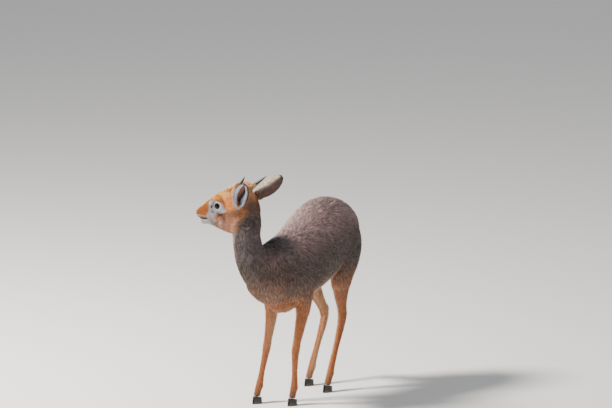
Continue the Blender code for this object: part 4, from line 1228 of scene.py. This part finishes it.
# The hair of the lids: a short pale nap round each eye, which hides the edge between lids and face, and a
# row of dark lashes along the upper lid.
LID_HAIRS, LASHES, LASH_WIDTH = 620, 34, 0.00035
for key, side in (("left", 1), ("right", -1)):
    count = LID_HAIRS
    angle, out = draw.uniform(0, 2 * math.pi, count), draw.uniform(0.26, 1.0, count)
    paths, ups = [], []
    for a, o in zip(angle, out):
        root = lid_point(side, a, o, 1.115)
        ahead = (lid_point(side, a, o + 0.1, 1.12) - root).normalized() * 0.6 - Vector(head_forward) * 0.6
        spoke = (root - eye_centre(side)).normalized()
        ahead = (ahead - spoke * ahead.dot(spoke)).normalized()
        paths.append([root - spoke * 0.0003, root + ahead * 0.0011 + spoke * 0.0002,
                      root + ahead * 0.0024 + spoke * 0.0003])
        ups.append(spoke)
    base = varied(RING, 0.10, count)
    uv = np.stack([0.5 + 0.4 * np.cos(angle) * out, 0.5 + 0.4 * np.sin(angle) * out], 1)
    tufts(f"lid_nap_{key}", paths, ups, draw.uniform(0.0004, 0.0006, count), (0.8, 1.0),
          shades_of(base, 0.65, 1.0, 1.0), uv, ear_hair)
    count = LASHES
    paths, ups = [], []
    for k in range(count):
        a = math.radians(25 + 130 * k / (count - 1))
        root = lid_point(side, a, 0.06, 1.10)
        spoke = (root - eye_centre(side)).normalized()
        upward = eye_axes(side)[1]
        reach = 0.0050 + 0.0012 * draw.random()
        way = (spoke * 0.95 + upward * 0.15 + Vector(draw.normal(0, 0.06, 3))).normalized()
        paths.append([root - way * 0.0005, root + way * reach * 0.4 - upward * 0.0002,
                      root + way * reach * 0.75, root + way * reach + upward * 0.0007])
        ups.append(upward)
    lash_colours = np.tile(BLACK_SKIN, (count, 4, 1))
    uv = np.stack([np.linspace(0.1, 0.9, count), np.full(count, 0.5)], 1)
    tufts(f"lashes_{key}", paths, ups, np.full(count, LASH_WIDTH), (1.0, 0.8, 0.5), lash_colours,
          uv, ear_hair)

# The stage: a plain pale floor, soft studio light, and a long lens from the photo's side of the animal,
# a little above its back.
bpy.ops.object.select_all(action="DESELECT")
bpy.ops.mesh.primitive_plane_add(size=120, location=(0, 0, 0))
floor = bpy.context.object
floor.name = "floor"
paper = bpy.data.materials.new("pale_paper")
paper.use_nodes = True
shader = paper.node_tree.nodes["Principled BSDF"]
shader.inputs["Base Color"].default_value = (0.78, 0.77, 0.75, 1)
shader.inputs["Roughness"].default_value = 0.95
shader.inputs["Specular IOR Level"].default_value = 0.1
floor.data.materials.append(paper)

world = bpy.data.worlds.new("studio")
world.use_nodes = True
world.node_tree.nodes["Background"].inputs["Color"].default_value = (0.93, 0.95, 1.0, 1)
world.node_tree.nodes["Background"].inputs["Strength"].default_value = 0.50
bpy.context.scene.world = world


def soft_light(name, place, size, watts, colour):
    data = bpy.data.lights.new(name, "AREA")
    data.shape = "DISK"
    data.size = size
    data.energy = watts
    data.color = colour
    lamp = bpy.data.objects.new(name, data)
    bpy.context.scene.collection.objects.link(lamp)
    lamp.location = place
    lamp.rotation_euler = (Vector((0, 0, 0.30)) - Vector(place)).to_track_quat("-Z", "Y").to_euler()
    lamp.visible_camera = False


soft_light("key", (-1.6, -1.15, 2.3), 0.7, 270, (1.0, 0.96, 0.89))
soft_light("fill", (2.2, -2.6, 1.4), 2.0, 18, (0.93, 0.96, 1.0))

CAMERA_AZIMUTH, CAMERA_ELEVATION = math.radians(28), math.radians(10)
CAMERA_FAR = 12.0
VIEW_WIDTH = 612 / 480
AIM_ASIDE, AIM_UP = (306 - 303) / 480, (394.5 - 204) / 480
right = Vector((math.cos(CAMERA_AZIMUTH), math.sin(CAMERA_AZIMUTH), 0))
back = Vector((math.sin(CAMERA_AZIMUTH) * math.cos(CAMERA_ELEVATION),
               -math.cos(CAMERA_AZIMUTH) * math.cos(CAMERA_ELEVATION), math.sin(CAMERA_ELEVATION)))
camera_data = bpy.data.cameras.new("camera")
camera_data.sensor_width = 36
camera_data.lens = 36 * CAMERA_FAR / VIEW_WIDTH
camera_data.clip_end = 200
camera = bpy.data.objects.new("camera", camera_data)
bpy.context.scene.collection.objects.link(camera)
camera.location = spine_foot + right * AIM_ASIDE + back.cross(right) * AIM_UP + back * CAMERA_FAR
camera.rotation_euler = (-back).to_track_quat("-Z", "Y").to_euler()
bpy.context.scene.camera = camera
